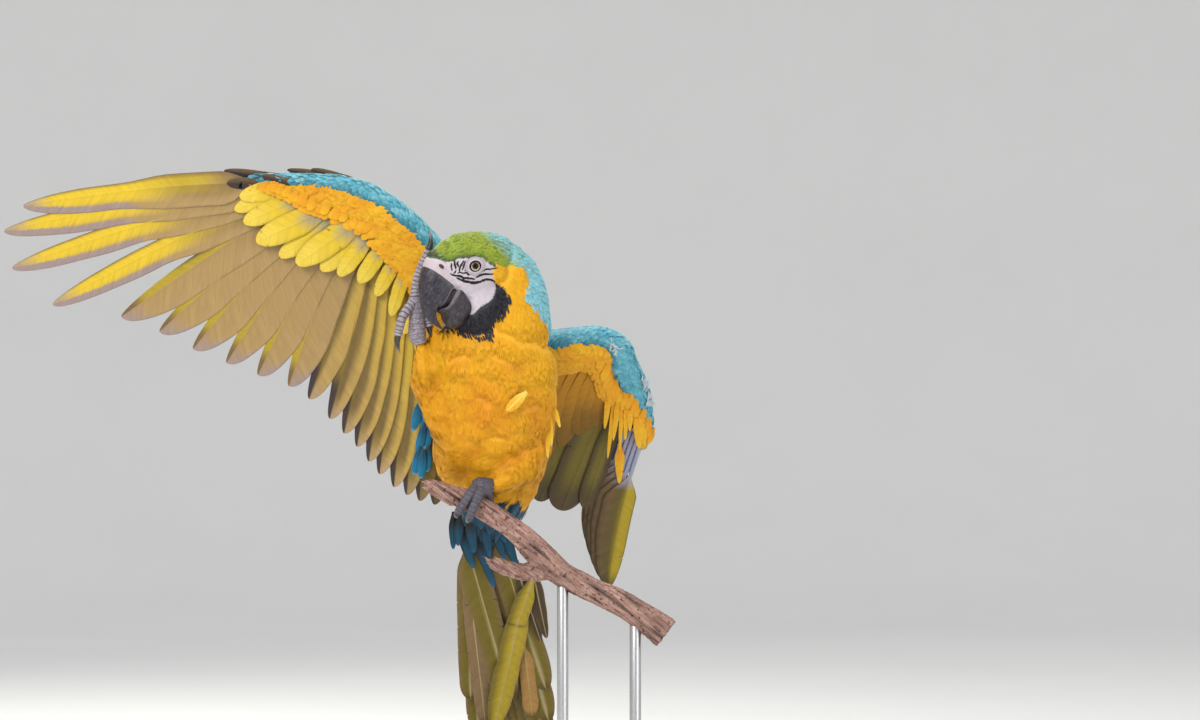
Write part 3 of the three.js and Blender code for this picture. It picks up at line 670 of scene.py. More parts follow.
def fold_depth(points):
    """How deep each point lies in the folds, from 0 to 1, and the depth in millimetres."""
    seen = np.column_stack([points[:, 0], points[:, 2] - PERCH_HEIGHT])
    share = np.zeros(len(points))
    deep = np.zeros(len(points))
    for line, depth, half in FOLDS:
        steps = spline(line, np.linspace(0, 1, FOLD_STEPS))
        ends = np.sin(math.pi * np.linspace(0.06, 0.94, FOLD_STEPS)) ** 0.5
        for step, strength in zip(steps, ends, strict=True):
            near = np.exp(-(((seen - step) ** 2).sum(axis=1)) / half**2) * strength
            share = np.maximum(share, near)
            deep = np.maximum(deep, near * depth)
    return share, deep


def folded(points, normals):
    """The skin with soft lobes over the body, and folds between them in front."""
    height = points[:, 2] - PERCH_HEIGHT
    body = ease(190, 165, height) * ease(-20, 10, height)
    front = ease(0.1, 0.6, -normals[:, 1])
    lobes = 1.5 * ripple(points, 62, 41) + 0.8 * ripple(points, 30, 42)
    flank = ease(-42, -64, points[:, 0]) * ease(116, 94, height) * ease(24, 74, height)
    moved = body * (lobes - 0.6) - front * fold_depth(points)[1] - FLANK_INSET * flank
    return points + normals * moved[:, None]


# ---- Large feathers, one by one ----
LAYER = 1.35
FRONT_COLUMNS = np.array([-1, -0.85, -0.6, -0.3])
BACK_COLUMNS = np.array([0.22, 0.45, 0.7, 0.9, 1])
VANE_HALF = 0.16
BARB_SLANT = 0.85
SPLIT_WIDTH = 0.004
MOST_TILT = 0.32
# Each face of a feather has half of a square cell of the unwrap, inside a margin.
CELL_MARGIN = 0.04
CELL_HALF = 0.21
CELL_HEIGHT = 0.92


def round_outline(t, base, full, tip, blunt):
    """A feather's width along its length: narrow at the root, full, then round at the tip."""
    rise = base + (1 - base) * ease(0, full, t)
    end = np.clip((t - tip) / (1 - tip), 0, 1)
    return rise * np.sqrt(np.maximum(1 - end**blunt, 0.004))


def vanes(front, back):
    """A form from round_outline's numbers for the vane in front of the shaft and for the one behind it."""
    return lambda t: (round_outline(t, *front), round_outline(t, *back))


flight_form = vanes((0.16, 0.2, 0.8, 2.2), (0.16, 0.2, 0.86, 2.2))
# An inner flight feather, which narrows over its last third.
tapered_form = vanes((0.16, 0.2, 0.62, 1.6), (0.16, 0.2, 0.68, 1.7))
covert_form = vanes((0.4, 0.45, 0.62, 2.0), (0.4, 0.45, 0.62, 2.0))
pointed_form = vanes((0.4, 0.35, 0.35, 1.5), (0.4, 0.35, 0.35, 1.5))
broad_form = vanes((0.3, 0.5, 0.7, 2.2), (0.3, 0.5, 0.8, 2.2))
# The upper and the lower part of a bent feather, both at their full width at the bend.
stub_form = vanes((0.3, 0.5, 0.97, 8), (0.3, 0.5, 0.97, 8))
bent_form = vanes((0.85, 0.1, 0.66, 1.6), (0.85, 0.1, 0.66, 1.6))


def finger_form(t):
    """An outer primary, which narrows half way out, more so in front of the shaft."""
    waist = ease(0.36, 0.56, t)
    shape = round_outline(t, 0.16, 0.16, 0.62, 1.7)
    return shape * (1 - 0.35 * waist), shape * (1 - 0.2 * waist)


def bare_form(t):
    """A flight feather whose vane starts a third of the way along, below a bare quill."""
    shape = 0.05 + 0.95 * ease(0.27, 0.44, t)
    return round_outline(t, 1, 0.01, 0.72, 1.5) * shape, round_outline(t, 1, 0.01, 0.62, 1.5) * shape


def feather_on(plane, root, tip, front, back, **rest):
    """One feather between (out, back) places of a wing's plane, with its half widths."""
    return dict(plane=plane, root=plane.point(*root), tip=plane.point(*tip), front=front, back=back) | rest


def quills(plane, count, roots, tips, **shape):
    """A row of feathers whose roots and tips lie on lines through (out, back) points of a wing's plane."""
    t = (np.arange(count) + 0.5) / count
    places = zip(spline(roots, t), spline(tips, t), strict=True)
    return [feather_on(plane, root, tip, **shape) for root, tip in places]


def off_line(point, a, b):
    """How far a point lies from the line through a and b."""
    return np.linalg.norm(np.cross(point - a, unit(b - a)))


def settle(row):
    """Tilts each feather of a row so that it passes under its neighbour."""
    for i, feather in enumerate(row):
        one, other = (feather, row[i + 1]) if i + 1 < len(row) else (row[i - 1], feather)
        step = max(0.02, 1 - (one.get("level", 0) - other.get("level", 0)) / LAYER)
        near = max(2.5, off_line(other["root"], one["root"], one["tip"])) / step
        far = max(6, off_line(other["tip"], one["root"], one["tip"])) / step
        feather.setdefault("spacing", (near, far))
        feather.setdefault("lift", (feather.get("level", 0),) * 2)
        feather["order"] = i / max(1, len(row) - 1)
    return row


def row_steps(rows, splits, chance):
    """Places along a feather for its rows, with three more at each split, and which rows are cut."""
    outer = 1 - 0.2 * (1 - np.linspace(0, 1, rows // 2 + 1)[1:]) ** 1.6
    outer[-1] = 0.999
    cuts = chance.uniform(0.35, 0.94, splits)
    around = [[c - SPLIT_WIDTH, c, c + SPLIT_WIDTH] for c in cuts]
    steps = np.concatenate([np.linspace(0, 0.8, rows), outer, *around])
    order = np.argsort(steps)
    return steps[order], np.isin(steps[order], cuts)


def vane_grid(feather, t, cut, length, chance):
    """Where a feather's rows meet its columns: how far off the shaft, how far slipped back, and its widths.

    At the rows that are cut, the barbs part: the outer columns draw in to the shaft.
    """
    front, back = feather.get("form", flight_form)(t)
    wobble = 1 + 0.03 * np.interp(t, np.linspace(0, 1, 9), chance.normal(size=9))
    front = (front * feather["front"] * wobble)[:, None]
    back = (back * feather["back"] * wobble)[:, None]
    shaft = np.interp(t, [0, 1], feather.get("shaft", (1.25, 0.35)))
    x = np.column_stack([front * FRONT_COLUMNS, -shaft, shaft * 0, shaft, back * BACK_COLUMNS])
    x[:, 3] = np.minimum(x[:, 3], -shaft * 1.3)
    x[:, 7] = np.maximum(x[:, 7], shaft * 1.3)
    slip = np.zeros_like(x)
    depth = chance.uniform(0.5, 0.75, len(t))
    for column, inner in ((0, 2), (1, 2), (10, 9), (11, 9)):
        drawn = (x[cut, inner] - x[cut, column]) * depth[cut]
        slip[cut, column] = -np.abs(drawn) * BARB_SLANT / length
        x[cut, column] += drawn
    return x, slip, shaft, np.where(x < 0, front, back)


def quill(feather, chance, rows, splits):
    """One feather as a closed blade with a raised shaft: its two faces, and its own coordinates."""
    plane = feather["plane"]
    root, reach = feather["root"], feather["tip"] - feather["root"]
    length = np.linalg.norm(reach)
    side = unit(np.cross(plane.under, reach)) * plane.hand
    t, cut = row_steps(rows, splits, chance)
    x, slip, shaft, widths = vane_grid(feather, t, cut, length, chance)
    tilt = np.arcsin(np.minimum(MOST_TILT, LAYER / np.interp(t, [0, 1], feather["spacing"])))
    across = np.cos(tilt)[:, None] * side + np.sin(tilt)[:, None] * plane.under
    bow = feather.get("bow", 0) * 4 * t * (1 - t)
    low, high = feather["lift"]
    rise = np.interp(t, [0, 0.4, 1], [low, high, high])
    middle = root + t[:, None] * reach - bow[:, None] * side + rise[:, None] * plane.under
    points = middle[:, None] + x[:, :, None] * across[:, None] + slip[:, :, None] * reach
    sunk = feather.get("cup", 0.05) * (x**2 / feather["back"])
    points = points + (plane.bend(points) - sunk)[:, :, None] * plane.under
    ridge = np.full_like(x, VANE_HALF)
    ridge[:, 5] += shaft * 0.75
    ridge[:, (4, 6)] += (shaft * 0.2)[:, None]
    thick = ridge[:, :, None] * plane.under
    own = np.stack([x, (t[:, None] + slip) * length, x / widths, np.broadcast_to(t[:, None], x.shape)], -1)
    return points + thick, points - thick, own


def grid_faces(rows, columns, flip):
    """The four-sided faces of a blade of two grids, one over the other, closed round its rim."""
    index = np.arange(rows * columns).reshape(rows, columns)
    a, b = index[:-1, :-1].ravel(), index[:-1, 1:].ravel()
    c, d = index[1:, 1:].ravel(), index[1:, :-1].ravel()
    low = rows * columns
    top = np.stack([a, b, c, d], 1)
    rim = np.concatenate([index[0], index[1:, -1], index[-1, -2::-1], index[-2:0:-1, 0]])
    after = np.roll(rim, -1)
    edge = np.stack([after, rim, rim + low, after + low], 1)
    faces = np.concatenate([top, top[:, ::-1] + low, edge])
    return faces[:, ::-1] if flip else faces


def feather_piece(name, feathers, tone, material, slot, nodes, rows=22, splits=1, fringe=None, soft=0):
    """A piece of many large feathers.

    tone(u, t, under, feather) gives their colours, and fringe(u, t, feather) how worn their edges are.
    """
    chance = np.random.default_rng(SEED + len(name))
    cells = math.ceil(math.sqrt(len(feathers)))
    points, faces, tones, barbs, bakes, edges = [], [], [], [], [], []
    start = 0
    for i, feather in enumerate(feathers):
        under, over, own = quill(feather, chance, rows, splits)
        points += [under.reshape(-1, 3), over.reshape(-1, 3)]
        faces.append(grid_faces(*own.shape[:2], feather["plane"].hand > 0) + start)
        u, t = own[..., 2].ravel(), own[..., 3].ravel()
        start += 2 * len(u)
        tones += [tone(u, t, True, feather), tone(u, t, False, feather)]
        if fringe is not None:
            edges += [fringe(u, t, feather), np.zeros(len(u))]
        barbs += [own[..., :2].reshape(-1, 2) * MM] * 2
        corner = np.array([i % cells, i // cells]) / cells
        for half in (0, 1):
            place = np.stack([CELL_HALF * (u + 1) + half * 0.5, CELL_HEIGHT * t], 1)
            bakes.append(corner + (place + CELL_MARGIN) / cells)
    piece = made_of(name, np.concatenate(points), np.concatenate(faces))
    paint(piece, np.concatenate(tones))
    if fringe is not None:
        layer = piece.data.attributes.new("fringe", "FLOAT", "POINT")
        layer.data.foreach_set("value", np.concatenate(edges).astype(np.float32))
    lay_out(piece, "OFBake", np.concatenate(bakes))
    lay_out(piece, "vane", np.concatenate(barbs))
    if soft:
        soften(piece, np.tile(feathers[0]["plane"].under, (start, 1)), soft)
    return finish(piece, material, slot, *nodes)


# ---- Colours of the plumage ----
GOLD = (0.9, 0.48, 0.012)
DEEP_GOLD = (0.82, 0.34, 0.008)
LEMON = (0.8, 0.55, 0.025)
KHAKI = (0.44, 0.285, 0.105)
BROWN = (0.2, 0.12, 0.045)
MAUVE = (0.36, 0.27, 0.25)
DARK = (0.05, 0.032, 0.028)
BLUE = (0.03, 0.22, 0.5)
TURQUOISE = (0.1, 0.42, 0.55)
SKY = (0.25, 0.6, 0.68)
VIOLET_BLUE = (0.03, 0.12, 0.4)
TAN = (0.46, 0.31, 0.14)
OLIVE_GOLD = (0.46, 0.33, 0.02)
ORANGE_GOLD = (0.83, 0.36, 0.006)
PALE_LEMON = (0.88, 0.66, 0.09)
BASE_GREY = (0.4, 0.33, 0.2)
DARK_OLIVE = (0.075, 0.055, 0.014)
DARK_BROWN = (0.07, 0.045, 0.02)


def flight_over(u):
    """The upper face of a flight feather: deep blue, black along its hidden inner vane."""
    tone = blend(VIOLET_BLUE, BLUE, ease(-0.2, -0.9, u))
    return blend(tone, DARK, ease(0.35, 0.8, u) * 0.8)


def blue_above(tone):
    """A flight feather's tone from tone(u, t, feather), which colours its underside."""
    return lambda u, t, under, feather: tone(u, t, feather) if under else flight_over(u)


def finger_share(feather):
    """1 on the four outer primaries, 0 on the inner ones."""
    return float(1 - ease(0.34, 0.4, feather["order"]))


def shadowed(tone, u, t, feather):
    """A feather from below with the brown shadow of the neighbour that lies over it."""
    covered = 1 - 1.15 * np.interp(t, [0, 1], feather["spacing"]) / feather["back"]
    return blend(tone, DARK_BROWN, 0.75 * ease(covered + 0.28, covered, u) * ease(1.0, 0.85, t))


@blue_above
def primary_tone(u, t, feather):
    """A primary from below: khaki, with a yellow leading vane and golden middle on the outer ones."""
    outer = finger_share(feather)
    lead = ease(0.04, -0.12, u)
    edge = ease(-0.7, -0.95, u) * outer + ease(0.84, 0.93, t) * lead * (1 - outer)
    tone = layered(
        KHAKI,
        (BROWN, ease(0.55, 0.15, t) * ease(0.9, 0.2, u) * (0.25 + 0.35 * outer)),
        (TAN, ease(0.45, 1, u) * 0.5),
        (blend(OLIVE_GOLD, LEMON, outer), lead * ease(0.12, 0.3, t)),
        (OLIVE_GOLD, outer * ease(0.1, 0.3, t) * ease(0.5, 0.15, u) * 0.75),
        (LEMON, outer * ease(0.3, 0.56, t) * ease(0.75, 0.35, u)),
        (BROWN, np.clip(edge, 0, 1)),
    )
    tone = blend(tone, shadowed(tone, u, t, feather), 1 - outer)
    return blend(tone, MAUVE, ease(0.86, 0.99, t) * (1 - lead * (1 - outer)) * 0.8)


def primary_fringe(u, t, feather):
    """How far a primary's trailing vane has turned mauve."""
    outer = finger_share(feather)
    reach = (0.62 - 0.3 * ease(0.7, 1, t)) * outer + (1.05 - 0.35 * ease(0.75, 1, t)) * (1 - outer)
    along = ease(0.42, 0.6, t) * outer + ease(0.6, 0.9, t) * (1 - outer)
    return np.clip((u - reach) * 1.6 + 0.5, 0, 1) * along + ease(0.93, 1.02, t) * 0.5


@blue_above
def secondary_tone(u, t, feather):
    """A secondary: khaki to yellow towards the body, dark where its leading vane shows at the tip."""
    near = feather["order"]
    yellow = ease(0.85, 0.4, t) * (0.3 + 0.6 * near) + ease(0.15, -0.1, u) * 0.8
    tone = layered(
        KHAKI,
        (LEMON, 0.1 + 0.4 * near),
        (BROWN, ease(0.3, 0, t) * 0.3),
        (LEMON, np.clip(yellow, 0, 1) * (1 - ease(0.8, 0.92, t))),
        (MAUVE, ease(0.88, 1, t) * 0.5),
    )
    return layered(
        shadowed(tone, u, t, feather),
        (DARK_OLIVE, 0.9 * feather["shade"] * ease(0.2, 0.5, t)),
        (DARK, ease(0.02, -0.25, u) * ease(0.74, 0.86, t)),
    )


def secondary_fringe(u, t, feather):
    return ease(0.7, 1.1, u) * ease(0.55, 0.95, t) * 0.55


# ---- The right wing, stretched ----
PRIMARY_LENGTHS = [258, 294, 306, 289, 238, 222, 215, 209, 206, 205]
PRIMARY_ANGLES = [6.4, 10.5, 17.2, 26, 34.8, 42, 49.5, 56.9, 63.8, 70.5]
SECONDARY_LENGTHS = [209, 218, 224, 229, 236, 241, 246, 246, 244, 240]
SECONDARY_ANGLES = [74.6, 79.2, 81.6, 83.4, 84.9, 86, 88, 89.5, 91, 93]
RIGHT_HAND = np.array([205, -144])
RIGHT_WRIST = np.array([97, -115])
RIGHT_ELBOW = np.array([21, -36])
PRIMARY = dict(front=14, back=24)
SECONDARY = dict(front=13, back=21, form=tapered_form, bow=-7)
TERTIAL = dict(front=18, back=20)
NO_TILT = (1e4, 1e4)
FLAT_LYING = (60, 60)
FINGERS = 4


def fan(start, end, lengths, angles, shape):
    """Flight feathers from `start` to `end` of the arm, each at its own length and angle."""
    row = []
    for i, (length, angle) in enumerate(zip(lengths, angles, strict=True)):
        root = start + (end - start) * (i + 0.5) / len(lengths)
        turn = math.radians(angle)
        tip = root + length * np.array([math.cos(turn), math.sin(turn)])
        row.append(feather_on(RIGHT, root, tip, **shape))
    return row


def right_flight():
    """The stretched wing's primaries, four of them spread like fingers, its secondaries and its tertials."""
    primaries = fan(RIGHT_HAND, RIGHT_WRIST, PRIMARY_LENGTHS, PRIMARY_ANGLES, PRIMARY)
    for i, feather in enumerate(primaries):
        feather["level"] = 0.6 * (4.5 - i)
        if i < FINGERS:
            feather.update(form=finger_form, bow=5)
    secondaries = fan(RIGHT_WRIST, RIGHT_ELBOW, SECONDARY_LENGTHS, SECONDARY_ANGLES, SECONDARY)
    for i, feather in enumerate(secondaries):
        feather.update(level=-3.9 + 0.33 * i, shade=max(0, i - 6) / 3)
    tertials = quills(RIGHT, 2, [[20, -30], [2, -4]], [[20, 186], [0, 150]], **TERTIAL, spacing=NO_TILT)
    for i, feather in enumerate(tertials):
        feather.update(level=-4.4 - 1.2 * i, shade=1)
    return settle(primaries), settle(secondaries), settle(tertials)


def blue_tone(edge=None):
    """The tone of blue coverts, with an edge of another colour if one is given."""

    def tone(u, t, under, feather):
        found = blend(BLUE, DARK, ease(0.4, 0.0, t) * (0 if under else 0.5))
        if edge is not None:
            found = blend(found, edge, ease(0.75, 1, np.maximum(np.abs(u), t)) * 0.5)
        return found

    return tone


# Lines of the roots and tips of rows of coverts, as (out, back) in the wing's plane.
RIGHT_GREATER = dict(
    roots=[[206, -144], [150, -133], [97, -113], [55, -74], [21, -36], [4, -10]],
    tips=[[228, -116], [203, -80], [160, -52], [110, -40], [70, -18], [40, 14], [14, 50]],
)
RIGHT_MEDIAN = dict(
    roots=[[206, -147], [150, -139], [95, -122], [50, -86], [12, -44], [-4, -14]],
    tips=[[222, -131], [180, -104], [150, -90], [105, -76], [60, -46], [30, -10], [4, 20]],
)
# Greater coverts under the wing, one by one: (out, back) of root and of tip, half width and lift at the tip.
RIGHT_BIG = [
    (168, -136, 226, -113, 8.6, 4.6),
    (160, -141, 220, -127, 10.3, 5.6),
    (143, -131, 216, -100, 11.5, 6.2),
    (110, -110, 178, -64, 10.9, 5.6),
    (122, -117, 202, -80, 14.4, 8.6),
    (80, -102, 133, -50, 11.5, 6.4),
    (84, -108, 159, -57, 14.4, 9.2),
    (78, -91, 114, -45, 9.8, 7.6),
    (62, -82, 92, -38, 9.2, 8.2),
    (50, -68, 74, -24, 8, 7),
    (40, -60, 58, -3, 7.5, 8.2),
    (26, -38, 44, 16, 7.5, 7.4),
    (15, -22, 30, 36, 7.5, 8.4),
    (5, -10, 16, 54, 8, 7.6),
]
# The line of the lowest tips of the soft coverts that lie over them.
RIGHT_SOFT = [[196, -134], [171, -124], [150, -112], [125, -103], [96, -90], [72, -68], [52, -46]]
RIGHT_SOFT += [[30, -16], [4, 16]]
# Stiff dark feathers on the hand's leading edge, with the same numbers.
ALULA = [
    (138, -141, 238, -154, 5.5, -1.5),
    (80, -139.5, 144, -157, 4.6, -2.5),
    (102, -146, 170, -156, 4.2, -2.5),
    (150, -138, 196, -150, 5, 4.5),
    (180, -141, 234, -141.5, 6.5, 4.0),
]


def one_by_one(plane, rows, form=covert_form, sink=0.5, **shape):
    """Feathers from a list of (out, back) roots and tips, half widths and lifts.

    `sink` is how high their roots lie, as a share of their lift.
    """
    feathers = []
    for i, (a, b, c, d, half, lift) in enumerate(rows):
        look = dict(form=form, shaft=(0.7, 0.2), cup=0.1, spacing=FLAT_LYING) | shape
        look.update(lift=(lift * sink, lift), order=i / max(1, len(rows) - 1))
        feathers.append(feather_on(plane, (a, b), (c, d), half, half, **look))
    return feathers


def soft_rows(plane, tips, rows, count, lengths, half, lifts, seed, step=7.0, hang=0.0):
    """Rows of soft, irregular coverts that overlap like shingles, longer towards the body.

    `step` is how far each row lies in front of the next, and `hang` turns them from square across their row
    to straight back.
    """
    chance = np.random.default_rng(seed)
    feathers = []
    for row in range(rows):
        t = np.clip((np.arange(count) + 0.5 * (row % 2) + chance.uniform(-0.3, 0.3, count)) / count, 0, 1)
        line = spline(tips, t)
        ahead = unit(spline(tips, np.clip(t + 0.02, 0, 1)) - spline(tips, np.clip(t - 0.02, 0, 1)))
        for part, (a, b), (da, db) in zip(t, line, ahead, strict=True):
            turn = chance.normal(0.35, 0.22)
            way = np.array([db, -da]) * math.cos(turn) + np.array([-da, -db]) * math.sin(turn)
            way = unit(way * (1 - hang) + np.array([chance.normal(-0.1, 0.16), 1]) * hang)
            tip = np.array([a, b]) - way * step * row * (0.6 + 0.4 * part)
            root = tip - way * chance.uniform(0.8, 1.2) * np.interp(part, [0, 1], lengths)
            width = half * chance.uniform(0.75, 1.2)
            lift = lifts[0] + (lifts[1] - lifts[0]) * (row + chance.uniform(-0.4, 0.4)) / rows
            look = dict(form=covert_form, shaft=(0.3, 0.1), cup=0.16, spacing=FLAT_LYING)
            look.update(lift=(lift * 0.4, lift), shade=chance.uniform(0, 1))
            feathers.append(feather_on(plane, root, tip, width, width, **look))
    return feathers


def soft_tone(u, t, under, feather):
    """Soft coverts: orange gold at the root, brighter at the edge, each a little different."""
    return blend(ORANGE_GOLD, GOLD, feather["shade"] * ease(0.2, 0.9, t))


def big_tone(u, t, under, feather):
    """Greater coverts: lemon, greyish at the root, with a paler shaft."""
    off = np.abs(u)
    return layered(
        BASE_GREY,
        (LEMON, ease(0.25, 0.55, t + 0.12 * off)),
        (PALE_LEMON, ease(0.45, 0.9, t) * 0.75),
        (OLIVE_GOLD, ease(0.75, 1.0, off) * 0.35),
    )


@blue_above
def alula_tone(u, t, feather):
    return blend(DARK, BROWN, ease(0.1, -0.8, u) * 0.6)


def covert_row(plane, lines, count, half, lift, form=covert_form):
    """One row of coverts between a line of roots and a line of tips."""
    look = dict(front=half, back=half, form=form, lift=lift, shaft=(0.5, 0.15), cup=0.12)
    return settle(quills(plane, count, lines["roots"], lines["tips"], **look))


def right_wing(plumage, flight):
    primaries, secondaries, tertials = right_flight()
    for feather in primaries[FINGERS:]:
        feather.update(front=10, back=27, form=tapered_form)
    node = ["wing_right"]
    edges = dict(splits=0, fringe=primary_fringe)
    feather_piece("right_primaries", primaries, primary_tone, flight, "plumage_blue", node, **edges)
    inner = secondaries + tertials
    edges = dict(splits=0, fringe=secondary_fringe)
    feather_piece("right_secondaries", inner, secondary_tone, flight, "plumage_blue", node, **edges)
    big = one_by_one(RIGHT, RIGHT_BIG)
    feather_piece("right_great_coverts", big, big_tone, plumage, "plumage_yellow", node, 14, 1)
    soft = soft_rows(RIGHT, RIGHT_SOFT, 2, 34, (12, 24), 5, (8.5, 11), 51)
    feather_piece("right_soft_coverts", soft, soft_tone, plumage, "plumage_yellow", node, 7, 2, soft=0.6)
    alula = one_by_one(RIGHT, ALULA)
    feather_piece("right_alula", alula, alula_tone, plumage, "plumage_blue", node, 14, 1)
    over = covert_row(RIGHT, RIGHT_GREATER, 19, 11, (-2.8, -6.2))
    over += covert_row(RIGHT, RIGHT_MEDIAN, 22, 8.5, (-4.4, -8.2))
    feather_piece("right_over_coverts", over, blue_tone(TURQUOISE), plumage, "plumage_blue", node, 9, 1)


# ---- The left wing, half open ----
LEFT_GREATER = dict(
    roots=[[98, 146], [92, 112], [80, 70], [48, 38], [8, 36]],
    tips=[[82, 214], [60, 178], [38, 152], [14, 134], [-14, 124]],
)
LEFT_MEDIAN = dict(
    roots=[[100, 120], [92, 84], [74, 44], [44, 24], [4, 24]],
    tips=[[90, 164], [74, 126], [50, 104], [22, 90], [-14, 84]],
)
LEFT_INNER = dict(
    roots=[[78, 66], [48, 44], [8, 40]],
    tips=[[64, 122], [44, 122], [26, 130], [-4, 152], [-20, 160]],
)
LEFT_SOFT = [[98, 158], [92, 134], [84, 118], [74, 106], [62, 96], [52, 84], [46, 68], [38, 50]]
LEFT_SOFT += [[22, 46], [0, 48], [-18, 52]]
# Single feathers that hang out of the soft coverts: (out, back) of root and of tip, half width, lift.
LEFT_HANGING = [
    (66, 84, 58, 161, 2.8, 12),
    (70, 86, 64, 138, 3.2, 12.5),
    (74, 90, 71, 152, 2.6, 13),
    (79, 92, 77, 139, 3, 13),
    (83, 96, 82, 127, 3.4, 13.5),
    (60, 78, 55, 122, 3.4, 11),
    (92, 100, 93, 152, 6.6, 13),
    (73, 150, 72, 200, 5.4, 6),
    (97, 116, 99, 150, 3.6, 12),
]
# The broad outer secondaries, which hide the others: the same numbers.
LEFT_BROAD = [(52, 62, -16, 216, 20, -1), (70, 68, 8, 230, 24, 1), (78, 84, 34, 230, 12, 2.5)]
# Where white down shows between the coverts: (out, back, under).
WHITE_DOWN = [(64, 12, 10), (68, 20, 10), (99, 62, 9), (101, 70, 9), (104, 84, 7), (105, 94, 7)]
QUILL_LAVENDER = (0.42, 0.4, 0.5)
OLIVE = (0.13, 0.1, 0.018)
DARK_GOLD = (0.5, 0.36, 0.015)
# Painted shade for the inner coverts, deep in the underwing's recess.
SHADED_INNER_GOLD = (0.6, 0.26, 0.006)
SHADED_INNER_BROWN = (0.25, 0.12, 0.006)
DOWN_WHITE = (0.62, 0.7, 0.74)


def left_flight():
    """The half open wing's primaries, whose quills are bare above, and its secondaries."""
    tips = [[60, 338], [52, 322], [47, 305], [46, 290]]
    look = dict(PRIMARY, form=bare_form, shaft=(2.2, 0.5), bow=-5)
    primaries = quills(LEFT, 5, [[103, 140], [84, 120]], tips, **look)
    for i, feather in enumerate(primaries):
        feather["level"] = 1.6 * (3 - i)
    lines = [[84, 52], [60, 38], [24, 56]], [[50, 196], [28, 220], [-14, 210]]
    secondaries = quills(LEFT, 8, *lines, **dict(SECONDARY, back=28))
    for i, feather in enumerate(secondaries):
        feather["level"] = -7.6 + 0.35 * i
    broad = one_by_one(LEFT, LEFT_BROAD, broad_form, 1.0, shaft=(1.2, 0.4), cup=0.04)
    return settle(primaries), settle(secondaries) + broad


@blue_above
def left_primary_tone(u, t, feather):
    """A left primary: a bare lavender quill, then brown, with a yellow leading half on the first."""
    first = feather["order"] < 0.1
    barred = 0.5 + 0.5 * np.sin(t * 90 - np.abs(u) * 4)
    tone = blend(BROWN, DARK_BROWN, 0.35 * barred + 0.4 * ease(0.7, 1, np.abs(u)))
    if first:
        tone = blend(tone, OLIVE, ease(0.7, 0.2, u))
        tone = blend(tone, DARK_GOLD, ease(0.3, -0.25, u) * ease(-1.05, -0.8, u))
    tone = blend(tone, DARK_BROWN, ease(0.88, 1, t) * 0.8)
    return blend(tone, QUILL_LAVENDER, ease(0.38, 0.3, t))


@blue_above
def left_secondary_tone(u, t, feather):
    """A left secondary: olive gold along its middle, dark brown at its edges and end."""
    middle = ease(1.0, 0.2, np.abs(u - 0.1)) * ease(1.02, 0.7, t)
    return layered(
        DARK_BROWN,
        (OLIVE, middle),
        (OLIVE_GOLD, middle**2 * 0.22),
        (BROWN, ease(0.82, 1, np.maximum(t, np.abs(u))) * 0.35),
    )


def shaded_inner_tone(u, t, under, feather):
    """Inner coverts with painted shade, deep under the wing: brownish gold, darker at their ends."""
    if not under:
        return blue_tone()(u, t, False, feather)
    # Painted shade: the gold of these coverts darkens to brown towards their ends.
    return blend(SHADED_INNER_GOLD, SHADED_INNER_BROWN, ease(0.25, 0.95, t + 0.1 * np.abs(u)))


def hanging_tone(u, t, under, feather):
    """Long hanging coverts: gold, with a darker root and a bright end."""
    return blend(DEEP_GOLD, blend(GOLD, PALE_LEMON, ease(0.8, 1, t) * 0.4), ease(0.1, 0.6, t))


def left_wing(plumage):
    primaries, secondaries = left_flight()
    node = ["wing_left"]
    feather_piece("left_primaries", primaries, left_primary_tone, plumage, "plumage_blue", node)
    feather_piece("left_secondaries", secondaries, left_secondary_tone, plumage, "plumage_blue", node)
    inner = covert_row(LEFT, LEFT_INNER, 7, 13, (2.5, 5.5))
    feather_piece("left_inner_coverts", inner, shaded_inner_tone, plumage, "plumage_yellow", node, 9, 0, soft=0.8)
    soft = soft_rows(LEFT, LEFT_SOFT, 3, 36, (16, 26), 4, (8, 12.5), 52, 8.0, 0.7)
    feather_piece("left_soft_coverts", soft, soft_tone, plumage, "plumage_yellow", node, 7, 1, soft=0.6)
    hanging = one_by_one(LEFT, LEFT_HANGING, pointed_form)
    feather_piece("left_hanging_coverts", hanging, hanging_tone, plumage, "plumage_yellow", node, 14, 2)
    over = covert_row(LEFT, LEFT_GREATER, 14, 11, (-6.9, -15.4))
    over += covert_row(LEFT, LEFT_MEDIAN, 16, 10, (-8.3, -18.4))
    feather_piece("left_over_coverts", over, blue_tone(TURQUOISE), plumage, "plumage_blue", node, 9, 1)


# ---- The tail ----
TAIL_LENGTHS = [205, 250, 300, 355, 420, 470]
TAIL_FAN = (0.8, 7.5)
TAIL_ROOTS = (2.5, 15)
TAIL_HALVES = (13, 17)
TAIL_LAYER = 1.15
TAIL_OVER = dict(roots=[[-18, 10], [0, 14], [18, 10]], tips=[[-26, 66], [0, 96], [26, 66]])
# Pointed coverts under the tail: (out, back) of root and of tip, half width, lift.
TAIL_UNDER = [
    (-26, -44, -33, 2, 5, 9),
    (24, -44, 36, 14, 5.5, 9),
    (-22, -34, -15, 28, 7, 12),
    (20, -30, 31, 34, 6.5, 12),
    (12, -26, 20, 22, 5.5, 14),
    (-8, -24, 4, 55, 6, 15),
    (-20, -42, -27, -6, 5.5, 16),
    (17, -42, 23, -2, 5.5, 16),
    (-10, -42, -11, 4, 6, 19),
    (4, -42, 5, 12, 6, 20),
]
